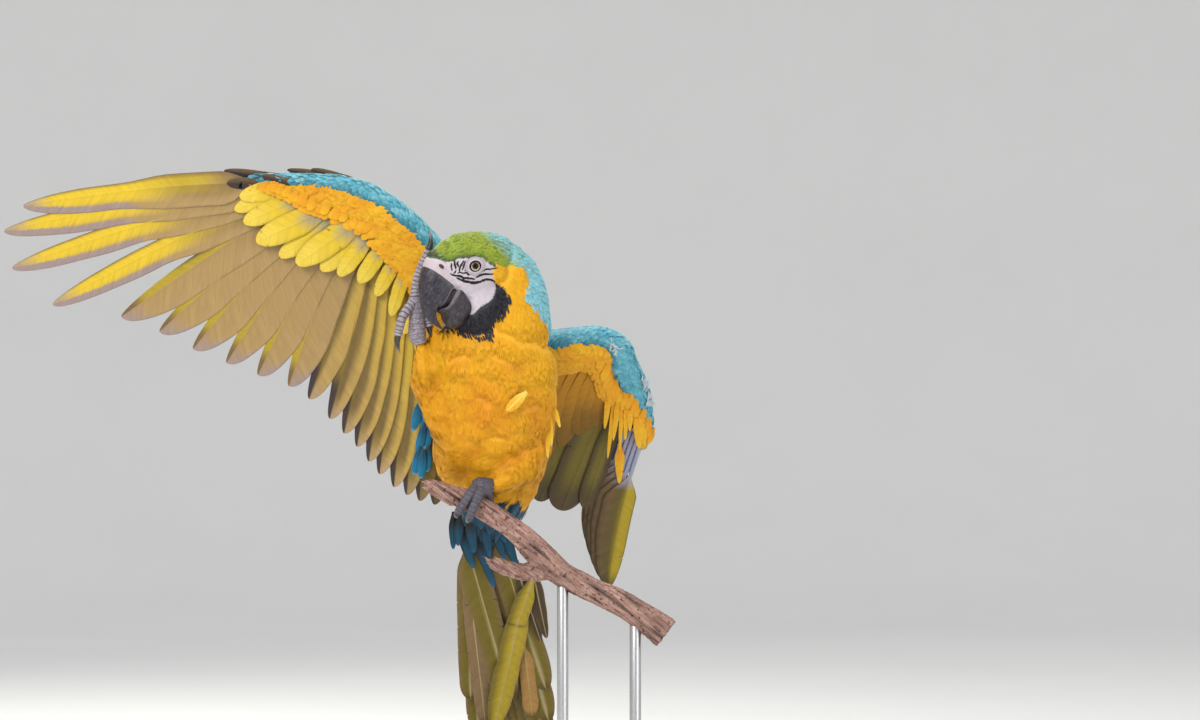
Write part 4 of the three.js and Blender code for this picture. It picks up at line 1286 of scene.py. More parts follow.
# Single tail feathers, worn, bent or turned aside: root and tip, half widths, lift, kind and form.
TAIL_SINGLES = [
    ((-18, 0), (2, 206), (15, 19), 9.5, "olive", flight_form),
    ((-22, 40), (-30, 236), (13, 10), 8, "worn", flight_form),
    ((26, 120), (22, 235), (9, 9), 7.5, "orange", flight_form),
    ((47, 40), (51, 134), (7, 10), 9, "dark", pointed_form),
    ((30, 30), (44, 138), (9, 9), 8, "dark", pointed_form),
    # The bent feather's two parts are mustard: partly their own colour, partly a painted highlight.
    ((46, 52), (21, 110), (10, 12), 13, "mustard", stub_form),
    ((24, 104), (-22, 242), (13.5, 14), 13.5, "mustard", bent_form),
]
TEAL = (0.004, 0.075, 0.14)
# Painted shade between the pointed coverts under the tail.
TEAL_SHADE = (0.012, 0.018, 0.02)
# Mustard, partly the bent tail feather's own colour and partly a painted highlight where light falls on it.
MUSTARD_AND_HIGHLIGHT = (0.45, 0.33, 0.02)
TAIL_OLIVE = (0.17, 0.13, 0.012)
WORN = (0.24, 0.15, 0.07)
RUST = (0.42, 0.23, 0.06)
SHAFT_PALE = (0.5, 0.4, 0.2)
TAIL_KINDS = {"olive": TAIL_OLIVE, "worn": WORN, "orange": RUST, "dark": DARK_BROWN, "mustard": MUSTARD_AND_HIGHLIGHT}


def tail_tone(u, t, under, feather):
    """A tail feather: blue above, olive below with worn brown edges and a paler shaft."""
    if not under:
        return flight_over(-np.abs(u))
    kind = feather["kind"]
    base = TAIL_KINDS[kind]
    off = np.abs(u)
    streak = 0.5 + 0.5 * np.sin(t * 61 - off * 5) * np.sin(t * 23 + 1)
    return layered(
        base,
        (np.array(base) * 1.5, 0.35 * streak),
        (WORN, ease(0.5, 1, off) * (0.75 if kind == "olive" else 0.3)),
        (TAIL_OLIVE, ease(0.1, 0.9, u) * (0.9 if kind == "mustard" else 0)),
        (DARK_BROWN, ease(0.93, 1, t) * 0.6),
        (SHAFT_PALE, ease(0.07, 0.03, off)),
    )


def vent_tone(u, t, under, feather):
    """Pointed coverts: teal, with painted shade that makes them nearly black at the root and the edges."""
    tone = blend(TEAL_SHADE, TEAL, ease(0.2, 0.6, t) * ease(1.0, 0.6, np.abs(u)))
    return blend(tone, BLUE, ease(0.8, 1, t) * 0.3)


def tail_pair(i, length):
    """The left and the right tail feather of one length, the longest in the middle and on top."""
    outness = 1 - i / (len(TAIL_LENGTHS) - 1)
    turn = math.radians(np.interp(outness, [0, 1], TAIL_FAN))
    pair = []
    for k, way in enumerate((1, -1)):
        a = way * np.interp(outness, [0, 1], TAIL_ROOTS)
        height = (5.5 - 2 * i - k) * TAIL_LAYER
        tip = (a + way * length * math.sin(turn), length * math.cos(turn))
        look = dict(lift=(height, height), order=outness, spacing=NO_TILT, shaft=(1.4, 0.4), kind="olive")
        pair.append(feather_on(TAIL, (a, -6), tip, *TAIL_HALVES[::way], **look))
    return pair


def tail(plumage):
    node = ["tail"]
    feathers = [feather for i, length in enumerate(TAIL_LENGTHS) for feather in tail_pair(i, length)]
    for root, tip, halves, height, kind, form in TAIL_SINGLES:
        look = dict(lift=(height - 3, height), order=0.5, spacing=NO_TILT, shaft=(1.5, 0.5), cup=0.12)
        feathers.append(feather_on(TAIL, root, tip, *halves, kind=kind, form=form, **look))
    feather_piece("tail_feathers", feathers, tail_tone, plumage, "plumage_blue", node, 22, 3)
    under = one_by_one(TAIL, TAIL_UNDER, pointed_form, 0.8)
    feather_piece("tail_under_coverts", under, vent_tone, plumage, "plumage_blue", node, 12, 1)
    over = covert_row(TAIL, TAIL_OVER, 7, 10, (-7, -10.5), pointed_form)
    feather_piece("tail_over_coverts", over, blue_tone(), plumage, "plumage_blue", node, 9, 1)


# ---- Single feathers on the body ----
BREAST = WingPlane(at(0, -60, 100), np.array([1.0, 0, 0]), np.array([0, 0, -1.0]), -1)
# (right, down) of root and of tip from the breast plane's origin, half width, and how far in front of it.
BODY_LOOSE = [
    (57, 2, 63, 24, 2.6, -36),
    (53, 10, 54, 44, 2.8, -38),
    (50, 26, 50, 56, 2.6, -38),
]
BREAST_PALE = [(29, -14, 8, 6, 5.5, 13)]
FLANK_BLUE = [(17, 134, 18, 161, 4.5, 18), (25, 134, 31, 164, 5, 20), (21, 136, 24, 168, 4.5, 21)]
FLANK_BLUE += [(15, 108, 19, 136, 4.5, 17), (21, 110, 28, 142, 5, 19), (19, 84, 23, 116, 4.5, 16)]
FLANK_BLUE += [(24, 82, 33, 118, 5, 18)]
FLANK = (0.006, 0.17, 0.33)
PALE_DOWN = (0.93, 0.74, 0.22)


def loose_tone(u, t, under, feather):
    return blend(GOLD, PALE_LEMON, ease(0.3, 1, t) * 0.6)


def pale_tone(u, t, under, feather):
    """A loose downy feather: lemon, paler at its root and along its shaft and edge."""
    tone = blend(BODY_LEMON, PALE_LEMON, ease(0.6, 0.1, t))
    off = np.abs(u)
    return blend(tone, PALE_DOWN, np.maximum(ease(0.12, 0.04, off), ease(0.85, 1, off) * 0.5))


def flank_tone(u, t, under, feather):
    """Flank feathers: bright blue with a pale rim."""
    tone = blend(TEAL, FLANK, ease(0.2, 0.7, t))
    return blend(tone, SKY, ease(0.9, 1, np.maximum(-u, t)) * 0.45)


def body_feathers(plumage):
    loose = one_by_one(BREAST, BODY_LOOSE, pointed_form, 1.0)
    feather_piece("loose_feathers", loose, loose_tone, plumage, "plumage_yellow", ["torso"], 12, 1)
    pale = one_by_one(BREAST, BREAST_PALE, covert_form, 0.9, cup=0.3)
    feather_piece("breast_loose_feather", pale, pale_tone, plumage, "plumage_yellow", ["torso"], 14, 2)
    flank = one_by_one(RIGHT, FLANK_BLUE, covert_form, 1.0, cup=0.3)
    feather_piece("flank_feathers", flank, flank_tone, plumage, "plumage_blue", ["wing_right"], 12, 1)


# ---- Small feathers, planted in coats ----
def blade_form(stations, lean=0.0):
    """A small closed feather with a ridge: (along, half width) stations between a root and a tip point.

    Points are (across, along, up), in widths, lengths and thicknesses. `lean` turns it aside.
    """
    points = [(0, 0, 0)]
    for along, half in stations:
        points += [(-half, along, 0), (0, along, 1), (half, along, 0)]
    points.append((0, 1, 0))
    points = np.array(points, float)
    points[:, 0] += lean * points[:, 1]
    faces = []
    for k in range(3):
        after = (k + 1) % 3
        faces.append((0, 1 + after, 1 + k))
        for row in range(len(stations) - 1):
            low, high = 1 + 3 * row, 4 + 3 * row
            faces.append((low + k, low + after, high + k))
            faces.append((low + after, high + after, high + k))
        faces.append((len(points) - 4 + k, len(points) - 4 + after, len(points) - 1))
    return points, np.array(faces)


def bundle(*forms):
    """Several small blades as one tuft."""
    points, faces, start = [], [], 0
    for one, sides in forms:
        points.append(one)
        faces.append(sides + start)
        start += len(one)
    return np.concatenate(points), np.concatenate(faces)


SCALE = blade_form([(0.2, 0.7), (0.48, 1), (0.74, 0.96), (0.92, 0.6)])
SPEAR = blade_form([(0.2, 0.75), (0.45, 1), (0.78, 0.6)])
TUFT = bundle(
    blade_form([(0.35, 0.42), (0.72, 0.34)]),
    blade_form([(0.34, 0.4), (0.7, 0.32)], 0.55),
    blade_form([(0.36, 0.4), (0.68, 0.32)], -0.55),
)
SILK = bundle(*(blade_form([(0.3, 0.5), (0.72, 0.4)], lean) for lean in (-1.2, 0, 1.2)))
STRAND = blade_form([(0.35, 1), (0.72, 0.75)])
# How much planted feathers differ in length, width, lift and direction, and how hollow they are.
LENGTHS = (0.82, 1.18)
WIDTHS = (0.85, 1.15)
LIFTS = (0.75, 1.25)
STRAY = 0.09
HOLLOW = 0.18
BLADE_THICK = 0.3
ROOT_DEPTH = 0.6
# How much of the skin's unwrap a planted feather spreads over.
PATCH = 0.0015


def thinned(points, spacing):
    """Which of some shuffled points to keep so that none lies closer than `spacing` to another."""
    cells = {}
    kept = []
    nearby = [(dx, dy, dz) for dx in (-1, 0, 1) for dy in (-1, 0, 1) for dz in (-1, 0, 1)]
    for i, (x, y, z) in enumerate((points / spacing).tolist()):
        a, b, c = math.floor(x), math.floor(y), math.floor(z)
        near = [other for dx, dy, dz in nearby for other in cells.get((a + dx, b + dy, c + dz), ())]
        if all((x - p) ** 2 + (y - q) ** 2 + (z - r) ** 2 >= 1 for p, q, r in near):
            cells.setdefault((a, b, c), []).append((x, y, z))
            kept.append(i)
    return np.array(kept, int)


# How many places are tried for each that is kept.
TRIES = 5


class Surface:
    """A skin that feathers are rooted in: its triangles, with their corners' places, normals and unwrap."""

    def __init__(self, piece):
        mesh = piece.data
        mesh.calc_loop_triangles()
        corners = read(mesh.loop_triangles, "vertices", 3, np.int32)
        loops = read(mesh.loop_triangles, "loops", 3, np.int32)
        self.places = places_of(piece)[corners]
        self.normals = normals_of(piece)[corners]
        self.unwrap = read(mesh.uv_layers["OFBake"].uv, "vector", 2)[loops]
        edges = self.places[:, 1:] - self.places[:, :1]
        self.area = np.linalg.norm(np.cross(edges[:, 0], edges[:, 1]), axis=1) / 2

    def spots(self, spacing, seed, keep):
        """Places about `spacing` mm apart where keep(points) is true: points, outward ways and unwrap."""
        chance = np.random.default_rng(seed)
        wanted = keep(self.places.mean(axis=1))
        share = np.cumsum(self.area * wanted)
        count = int(share[-1] / spacing**2 * TRIES)
        picked = np.searchsorted(share, chance.uniform(0, share[-1], count))
        weights = chance.dirichlet((1, 1, 1), count)[:, :, None]
        points = (self.places[picked] * weights).sum(axis=1)
        kept = thinned(points, spacing)
        kept = kept[keep(points[kept])]
        ways = unit((self.normals[picked] * weights).sum(axis=1))
        unwrap = (self.unwrap[picked] * weights).sum(axis=1)
        return points[kept], ways[kept], unwrap[kept]


def plant(name, form, spots, way, length, width, tones, lift, curl, vary=0.06, soft=0.6, seed=1):
    """A coat piece: one small feather at each spot, lying along `way`, coloured from root to tip by `tones`.

    `lift` and `curl` say how it stands off and bends back, as shares of its length, `vary` how much their
    brightness differs, and `soft` how far the skin's own shape shades them.
    """
    roots, face, unwrap = spots
    chance = np.random.default_rng(SEED + seed)
    count = len(roots)
    length = length * chance.uniform(*LENGTHS, count)
    width = width * chance.uniform(*WIDTHS, count)
    way = unit(way - (way * face).sum(axis=1, keepdims=True) * face)
    aside = np.cross(way, face)
    way = unit(way + aside * chance.normal(0, STRAY, count)[:, None])
    aside = np.cross(way, face)
    lift = lift * chance.uniform(*LIFTS, count)
    shape, sides = form
    across, along, up = shape.T
    rise = length[:, None] * (lift[:, None] * along - curl * along**2) - HOLLOW * width[:, None] * across**2
    rise = rise + BLADE_THICK * up - ROOT_DEPTH * (1 - along)
    points = (
        roots[:, None]
        + (length[:, None] * along)[:, :, None] * way[:, None]
        + (width[:, None] * across)[:, :, None] * aside[:, None]
        + rise[:, :, None] * face[:, None]
    )
    faces = (sides[None] + (np.arange(count) * len(shape))[:, None, None]).reshape(-1, 3)
    piece = made_of(name, points.reshape(-1, 3), faces)
    bright = chance.normal(1, vary, count)[:, None, None]
    share = np.broadcast_to(ease(0.2, 0.85, along), (count, len(along)))
    mixed = blend(tones[0][:, None], tones[1][:, None], share)
    paint(piece, (mixed * bright).reshape(-1, 3))
    patch = np.stack([across, along * 2 - 1], 1) * PATCH
    lay_out(piece, "OFBake", (unwrap[:, None] + patch[None]).reshape(-1, 2))
    vane = np.stack([width[:, None] * across, length[:, None] * along], -1) * MM
    lay_out(piece, "vane", vane.reshape(-1, 2))
    soften(piece, np.repeat(face, len(shape), axis=0), soft)
    return piece


# ---- Colour patterns, and painted shade in the breast's folds, which skin and coat share ----
def inside(outline, x, z):
    """Which points lie within an outline."""
    found = np.zeros(len(x), bool)
    for (ax, az), (bx, bz) in zip(outline, outline[1:] + outline[:1], strict=True):
        crosses = (az > z) != (bz > z)
        found ^= crosses & (x < ax + (z - az) * (bx - ax) / (bz - az + 1e-9))
    return found


# Outlines on the side of the head, as (x, z) in its own frame.
BROW = [(-24.9, -11.3), (-20, -8.6), (-15.6, -4.1), (-12.2, -1.3), (-7.4, 5), (-0.6, 6.6), (5.7, 7.6)]
BROW += [(12.4, 9.6), (17.7, 10.3), (20.7, 9), (27.4, 9.2), (30, 11.4), (32.3, 14.2), (36.7, 16.4)]
BROW += [(39.5, 18.6)]
CHEEK = [(44, 20.5), (70, 0), (60, -70), (24, -54), (13.2, -50.6), (10.1, -48.4), (3.5, -45.2)]
CHEEK += [(-5.6, -42.8), (-11.3, -40.4), (-16, -35.5), (-19.6, -30.3), (-16.4, -23.3), (-16.7, -19.2)]
CHEEK += [(-16.2, -15), (-17, -12.4)]
THROAT = [(-14, -20), (-19, -27), (-26.5, -34), (-31, -41), (-30.4, -45), (-25, -48.4), (-24.4, -54.4)]
THROAT += [(-18, -59.8), (-9.3, -62.4), (-3.5, -70), (1.6, -75.8), (11.6, -75.3), (21, -70), (26.7, -63)]
THROAT += [(34.7, -60), (60, -54), (60, -44), (20, -44), (-2, -36), (-11, -25)]
BODY_GOLD = (0.87, 0.35, 0.003)
BODY_LEMON = (0.94, 0.46, 0.005)
# Painted shade for the folds of the breast.
BODY_FOLD_SHADE = (0.76, 0.26, 0.002)
LIME = (0.31, 0.4, 0.03)
MOSS = (0.12, 0.2, 0.02)
# Dark forehead green, which also serves as painted shade just above the brow.
FOREHEAD_AND_BROW_SHADE = (0.05, 0.075, 0.05)
FACE_WHITE = (0.58, 0.51, 0.565)
BLACK = (0.026, 0.025, 0.036)
LINE_BLACK = (0.01, 0.008, 0.01)
# Round the neck and the back, at these heights: where blue is in the middle, and half of how far it reaches.
NAPE_HEIGHTS = [150, 185, 203, 224, 245, 270]
NAPE_MIDDLE = [180, 145, 125, 108, 105, 105]
NAPE_HALF = [70, 66, 68, 76, 74, 74]
# The middle line of the body, as heights, x and y.
BODY_HEIGHTS = [-38, 47, 121, 157, 205, 232, 260]
BODY_X = [-19, -10, -14, -12, 4, 4, -8]
BODY_Y = [46, 12, -18, -28, -36, -43, -53]
NAPE_END = 165
RAGGED = 1.6
CROWN_REACH = 71
THROAT_MIDDLE = np.array([10, 0, -30])
THROAT_REACH = 62


def region_of(points):
    """The region of each point of the bird: 'face', 'throat', 'crown', 'nape', 'back', 'vent' or 'breast'."""
    seen = to_head(points)
    ragged = ripple(points, 14, 3)
    x, y, z = seen[:, 0] + RAGGED * ragged, seen[:, 1], seen[:, 2] + RAGGED * ragged
    height = points[:, 2] - PERCH_HEIGHT
    region = np.full(len(points), "breast", dtype="<U8")
    off_x = points[:, 0] - np.interp(height, BODY_HEIGHTS, BODY_X)
    off_y = points[:, 1] - np.interp(height, BODY_HEIGHTS, BODY_Y)
    turn = np.degrees(np.arctan2(off_x, -off_y))
    middle = np.interp(height, NAPE_HEIGHTS, NAPE_MIDDLE)
    off = np.abs((turn - middle + 180) % 360 - 180) + RAGGED * ragged
    behind = off < np.interp(height, NAPE_HEIGHTS, NAPE_HALF)
    region[behind & (height > NAPE_END)] = "nape"
    region[behind & (height <= NAPE_END)] = "back"
    region[height < 4 * ragged] = "vent"
    nearby = np.linalg.norm(seen, axis=1) + 5 * ripple(points, 9, 11) < CROWN_REACH
    on_head = (seen[:, 2] > -36) & (seen[:, 0] > -62) & nearby
    yellow_side = (z < -6 + 0.33 * (x + 17)) & (x < -14) & (x > -48 - 0.2 * (z + 14))
    region[on_head & ~yellow_side & (seen[:, 2] > -30)] = "crown"
    region[on_head & yellow_side] = "breast"
    near_throat = (np.linalg.norm(seen - THROAT_MIDDLE, axis=1) < THROAT_REACH) & (np.abs(y) < 34)
    region[near_throat & inside(THROAT, x, z)] = "throat"
    region[near_throat & inside(BROW + CHEEK, seen[:, 0], seen[:, 2])] = "face"
    return region


def crown_tone(points, seen):
    """The crown: sky blue behind, green in front, mossy above the brow with painted shade, dark on the
    forehead.
    """
    behind = seen[:, 0] + 23 + 0.48 * (30 - seen[:, 2])
    above = seen[:, 2] - np.interp(seen[:, 0], *zip(*BROW, strict=True))
    return layered(
        SKY,
        (LIME, ease(-9, 9, behind + 3 * ripple(points, 18, 8))),
        (OLIVE_GOLD, ease(0.1, 0.9, ripple(points, 5, 12)) * ease(30, 6, behind) * 0.35),
        (MOSS, ease(-0.2, 1, ripple(points, 4, 13)) * 0.7),
        (MOSS, ease(7, 1, above) * ease(-30, -5, seen[:, 0]) * 0.8),
        # Painted shade: a thin dark line just above the brow.
        (FOREHEAD_AND_BROW_SHADE, ease(2.2, 0.4, above) * ease(-24, -14, seen[:, 0]) * 0.7),
        (FOREHEAD_AND_BROW_SHADE, ease(24, 37, seen[:, 0]) * ease(16, 2, above) * 0.85),
    )


def markings_and_fold_shade(points):
    """The bird's colour at points, for skin and coat alike, with painted shade in the breast's folds."""
    region = region_of(points)
    height = points[:, 2] - PERCH_HEIGHT
    lemon = np.clip(0.5 + 0.5 * ripple(points, 60, 5) + ease(90, 200, height) * 0.4, 0, 1)
    # Painted shade: the breast turns a deeper orange in its folds, as deep as each point lies in them.
    tone = layered(BODY_GOLD, (BODY_LEMON, lemon), (BODY_FOLD_SHADE, fold_depth(points)[0] * 0.55))
    shaded = {"crown": crown_tone(points, to_head(points)), "nape": blend(SKY, BLUE, ease(200, 150, height))}
    for name, found in shaded.items():
        tone[region == name] = found[region == name]
    for name, colour in {"back": BLUE, "vent": TEAL, "throat": BLACK, "face": FACE_WHITE}.items():
        tone[region == name] = colour
    return tone


def lie(points):
    """The way feathers lie: back over the head, down the neck and the body, out along the thighs."""
    total = np.zeros_like(points)
    for where, way, reach in LIE_GUIDES:
        apart = np.linalg.norm(points - where, axis=1) / reach
        total += np.exp(-(apart**2))[:, None] * way
    return unit(total + 1e-6 * np.array([0, 0, -1]))


def guides_along(stations, reach, against=False):
    """Guides that follow the middle line of a loft, or run against it."""
    line = [station[0] for station in stations]
    t = np.linspace(0, 1, 8)
    ways = heading(line, t) * (-1 if against else 1)
    return [(where, way, reach) for where, way in zip(spline(line, t), ways, strict=True)]


HEAD_FALL = unit(-HEAD_FORWARD * 0.7 - HEAD_UP * 0.7)
LIE_GUIDES = guides_along(TORSO, 34) + guides_along(NECK, 26, True) + guides_along(SKULL, 22, True)
LIE_GUIDES += [(in_head(10, 0, -52), HEAD_FALL, 26), (in_head(-40, 0, -10), HEAD_FALL, 26)]
LIE_GUIDES += guides_along(THIGH_RIGHT, 18) + guides_along(THIGH_LEFT, 22)


def coat_of(surface, plumage, slot, nodes, name, form, spacing, length, width, seed, dim=0.8, **lay):
    """The coat of one region of the skin, which its name starts with. `dim` darkens the roots."""
    region = name.split("_")[1]
    spots = surface.spots(spacing, seed, lambda points: region_of(points) == region)
    tone = markings_and_fold_shade(spots[0])
    piece = plant(name, form, spots, lie(spots[0]), length, width, (tone * dim, tone), seed=seed, **lay)
    return finish(piece, plumage, slot, *nodes)


def body_coat(surface, plumage):
    yellow = (surface, plumage, "plumage_yellow", ["torso", "neck", "thigh_right", "thigh_left"])
    blue = (surface, plumage, "plumage_blue", ["torso", "neck"])
    green = (surface, plumage, "plumage_green", ["head"])
    base = dict(lift=0.06, curl=0.03, vary=0.02, dim=0.97, soft=0.9)
    down = dict(lift=0.08, curl=0.03, vary=0.03, dim=0.96, soft=0.85)
    hairs = dict(lift=0.1, curl=0.04, vary=0.07, dim=0.95, soft=0.85)
    coat_of(*yellow, "coat_breast", SILK, 2.8, 16, 1.9, 11, **base)
    coat_of(*yellow, "coat_breast_down", SILK, 2.45, 12, 1.2, 17, **down)
    coat_of(*yellow, "coat_breast_silk", STRAND, 1.6, 11, 0.45, 18, **hairs)
    coat_of(*blue, "coat_back", SCALE, 6, 22, 6, 12, lift=0.18, curl=0.1)
    # Painted shade: the vent's feathers darken to 0.4 of their colour at the roots, for the dark gaps between
    # them.
    coat_of(*blue, "coat_vent", SPEAR, 5, 26, 5, 13, dim=0.4, lift=0.16, curl=0.1)
    coat_of(*blue, "coat_nape", SCALE, 3.2, 12, 3.2, 14, lift=0.15, curl=0.08)
    coat_of(*green, "coat_crown", SCALE, 2.0, 6.5, 1.6, 15, lift=0.15, curl=0.08)
    coat_of(*green, "coat_throat", TUFT, 1.9, 8.5, 1.3, 16, lift=0.34, curl=0.1, vary=0.25)


# Lines of tiny black feathers on the bare face: half width, and (x, z) points in the head's frame.
FACE_LINES = [
    (0.55, [(20.4, -5.2), (17, -5.1), (14, -6.4), (11.1, -6.9), (9.4, -9), (5.9, -9), (2.4, -10.8),
            (-1.6, -10.5), (-5.9, -10.2), (-9.9, -9.6), (-13.9, -10.5), (-18, -11.1), (-22, -11.8)]),
    (0.75, [(26.5, -1.8), (24.4, -4.7), (20.8, -6.9), (17.8, -8.4), (15.1, -10.8), (11.6, -12.5),
            (7.9, -13.9), (5.5, -15.2)]),
    (0.7, [(3.6, -14.3), (0.9, -14.4), (-1.8, -13.9), (-5.6, -13.7), (-9.7, -14.7), (-15.2, -16.3)]),
    (0.95, [(21.9, -8.1), (19.9, -10.3), (17.1, -12.7), (14.2, -14.9), (10.2, -17), (6.2, -19.1),
            (1.9, -20.1), (-2.6, -20.1), (-7, -19.9), (-12.2, -21.2), (-16.4, -23.7)]),
    (0.6, [(20.6, 8.1), (22.1, 4.9), (23, 1.2)]),
    (0.75, [(16.8, 9.2), (18.5, 5.6), (19.1, 1.8)]),
    (0.6, [(13.5, 7.7), (15.5, 5.6), (16, 3.1)]),
    (0.65, [(8.6, 6.7), (11.7, 3.6), (14.5, 0.9), (16.3, -2.2)]),
    (0.6, [(7.4, 5.9), (9.6, 2.5), (12.7, -1.5)]),
    (0.55, [(5.2, 3.9), (7.6, 0.6), (9.2, -1.6)]),
    (0.5, [(7.4, -3.1), (9.9, -3.9)]),
    (0.5, [(18.5, -1.1), (21, -3)]),
]
LASH_LENGTH = 2.6
LASH_WIDTH = 2.2
LASH_STEP = 0.6


def on_side(places, ways, line, side):
    """Where (x, z) points of the head's frame meet a surface on one side: points, ways out, nearest rows."""
    seen = to_head(places)
    beyond = np.where(seen[:, 1] * side > 5, 0, 1e6)
    points, normals, nearest = [], [], []
    for x, z in line:
        apart = (seen[:, 0] - x) ** 2 + (seen[:, 2] - z) ** 2 + beyond
        close = np.argpartition(apart, 12)[:12]
        share = np.exp(-(apart[close] - apart[close].min()) / 2)
        share = share / share.sum()
        points.append(in_head(x, share @ seen[close, 1], z))
        normals.append(share @ ways[close])
        nearest.append(close[apart[close].argmin()])
    return np.array(points), unit(np.array(normals)), np.array(nearest)


def face_lines(surface, plumage):
    """The black lines of the face, each a row of lashes that overlap."""
    places = surface.places.reshape(-1, 3)
    ways_out = surface.normals.reshape(-1, 3)
    unwrap = surface.unwrap.reshape(-1, 2)
    roots, faces, laid, ways, widths = [], [], [], [], []
    for side in SIDES.values():
        for half, line in FACE_LINES:
            length = np.linalg.norm(np.diff(np.array(line, float), axis=0), axis=1).sum()
            t = np.linspace(0, 1, int(length / LASH_STEP) + 2)
            spots = spline(line, t)
            points, out, nearest = on_side(places, ways_out, spots, side)
            step = np.gradient(spots, axis=0)
            roots.append(points)
            faces.append(out)
            laid.append(unwrap[nearest])
            ways.append(step[:, :1] * HEAD_FORWARD + step[:, 1:] * HEAD_UP)
            widths.append(LASH_WIDTH * half * (0.4 + 0.6 * np.sin(math.pi * t) ** 0.5))
    spots = tuple(np.concatenate(parts) for parts in (roots, faces, laid))
    tone = np.tile(LINE_BLACK, (len(spots[0]), 1))
    way, width = np.concatenate(ways), np.concatenate(widths)
    piece = plant("face_lines", STRAND, spots, way, LASH_LENGTH, width, (tone, tone), 0.3, 0.1)
    finish(piece, plumage, "plumage_green", "head")


# ---- The wings' arms under their own coat ----
# Stations of each arm: out, back, half width, half depth, and how broad the turquoise is from in front.
RIGHT_ARM = [
    [-14, 14, 26, 15, 8],
    [8, -40, 30, 15, 10],
    [40, -81, 30, 12, 13],
    [74, -112, 27, 10, 14],
    [106, -128, 24, 8.5, 13],
    [150, -138, 17, 6.5, 10],
    [196, -145, 9, 4.5, 6],
    [214, -146, 4, 2.5, 4],
]
LEFT_ARM = [
    [-22, 18, 25, 15, 8],
    [14, 20, 27, 15, 10],
    [44, 19, 25, 12, 14],
    [65, 28, 22, 10, 24],
    [77, 50, 19, 10, 27],
    [91, 84, 17, 8.5, 23],
    [100, 120, 13, 7, 17],
    [103, 142, 8.5, 5, 9],
    [104, 156, 3, 2, 4],
]
ARM_COAT = 2.0
DEEP_TURQUOISE = (0.012, 0.15, 0.21)


def across_arm(plane, stations, points):
    """How far along an arm points lie, how far in front of its middle line, and the arm's direction there."""
    steps = np.linspace(0, 1, 60)
    line = spline([station[:2] for station in stations], steps)
    ahead = unit(np.gradient(line, axis=0))
    seen = plane.seen(points)[:, :2]
    nearest = ((seen[:, None] - line[None]) ** 2).sum(axis=2).argmin(axis=1)
    off = seen - line[nearest]
    lead = off[:, 0] * ahead[nearest, 1] - off[:, 1] * ahead[nearest, 0]
    return steps[nearest], lead, ahead[nearest]


def arm_marks_and_highlight(plane, stations, points, ways):
    """An arm's colours, with a painted highlight: where it is blue, its colour there, and the arm's
    direction.
    """
    t, lead, ahead = across_arm(plane, stations, points)
    under = ways @ plane.under
    bare = level([wide - band for _, _, wide, _, band in stations], t)
    inner = lead - bare + 1.6 * ripple(points, 9, 4)
    blue = (inner > 0) | (under < -0.2)
    # Painted highlight: besides random patches, the turquoise pales to sky blue where it turns away from the
    # underside, up over the leading edge where light falls.
    sky = np.clip(0.3 + 0.4 * ripple(points, 14, 9) + 0.6 * ease(0.6, 0.1, under), 0, 1)
    over, edge = ease(0.0, -0.6, under), ease(8, 0, inner) * 0.85
    tone = layered(TURQUOISE, (SKY, sky), (DEEP_TURQUOISE, edge), (BLUE, over))
    gold = blend(ORANGE_GOLD, GOLD, np.clip(0.5 + 0.5 * ripple(points, 24, 6), 0, 1))
    tone[~blue] = gold[~blue]
    return blue, tone, ahead


def arm_coat(name, plane, stations, node, bare_skin, plumage, seed):
    """A wing's arm and the small feathers on it: gold below, turquoise over the leading edge and above."""
    placed = [(plane.point(a, b), deep, wide) for a, b, wide, deep, _ in stations]
    arm = loft(name + "_arm", placed, plane.under, around=40, rings=60, grow=-ARM_COAT)
    paint(arm, arm_marks_and_highlight(plane, stations, places_of(arm), normals_of(arm))[1])
    finish(arm, bare_skin, "plumage_yellow", node)
    every = Surface(arm).spots(2.1, seed, lambda points: np.full(len(points), True))
    blue, tone, ahead = arm_marks_and_highlight(plane, stations, every[0], every[1])
    along = ahead[:, :1] * plane.out + ahead[:, 1:] * plane.back
    forward = ahead[:, 1:] * plane.out - ahead[:, :1] * plane.back
    blue_way = along * 0.8 - forward * 0.6
    gold_way = along * 0.35 - forward
    fine = dict(lift=0.06, curl=0.03, vary=0.05, soft=0.8, seed=seed)
    plain = dict(lift=0.1, curl=0.04, vary=0.02, soft=0.85, seed=seed)
    down = dict(lift=0.2, curl=0.08, vary=0.04, soft=0.85, seed=seed + 5)
    for kind, slot, form, here, way, length, width, dim, lay in (
        ("_blue_coat", "plumage_blue", SCALE, blue, blue_way, 11, 3.0, 0.6, fine),
        ("_gold_coat", "plumage_yellow", SCALE, ~blue, gold_way, 15, 3.6, 0.96, plain),
        ("_gold_down", "plumage_yellow", SILK, ~blue, gold_way, 12, 1.3, 0.96, down),
    ):
        spots = tuple(part[here] for part in every)
        look = (tone[here] * dim, tone[here])
        coat = plant(name + kind, form, spots, way[here], length, width, look, **lay)
        finish(coat, plumage, slot, node)


def white_down(plumage):
    """Tufts of white down between the coverts of the left wing's edge."""
    chance = np.random.default_rng(64)
    spots = np.repeat(np.array(WHITE_DOWN, float), 7, axis=0)
    spots[:, :2] += chance.normal(0, 1.8, (len(spots), 2))
    roots = np.array([LEFT.point(*spot) for spot in spots])
    face = np.tile(LEFT.under, (len(roots), 1))
    way = np.tile(LEFT.back, (len(roots), 1)) + chance.normal(0, 0.5, (len(roots), 3))
    tone = np.tile(DOWN_WHITE, (len(roots), 1))
    rooted = (roots, face, spots[:, :2] / 400)
    piece = plant("left_white_down", SILK, rooted, way, 8, 0.7, (tone, tone), 0.3, 0.1)
    finish(piece, plumage, "plumage_blue", "wing_left")


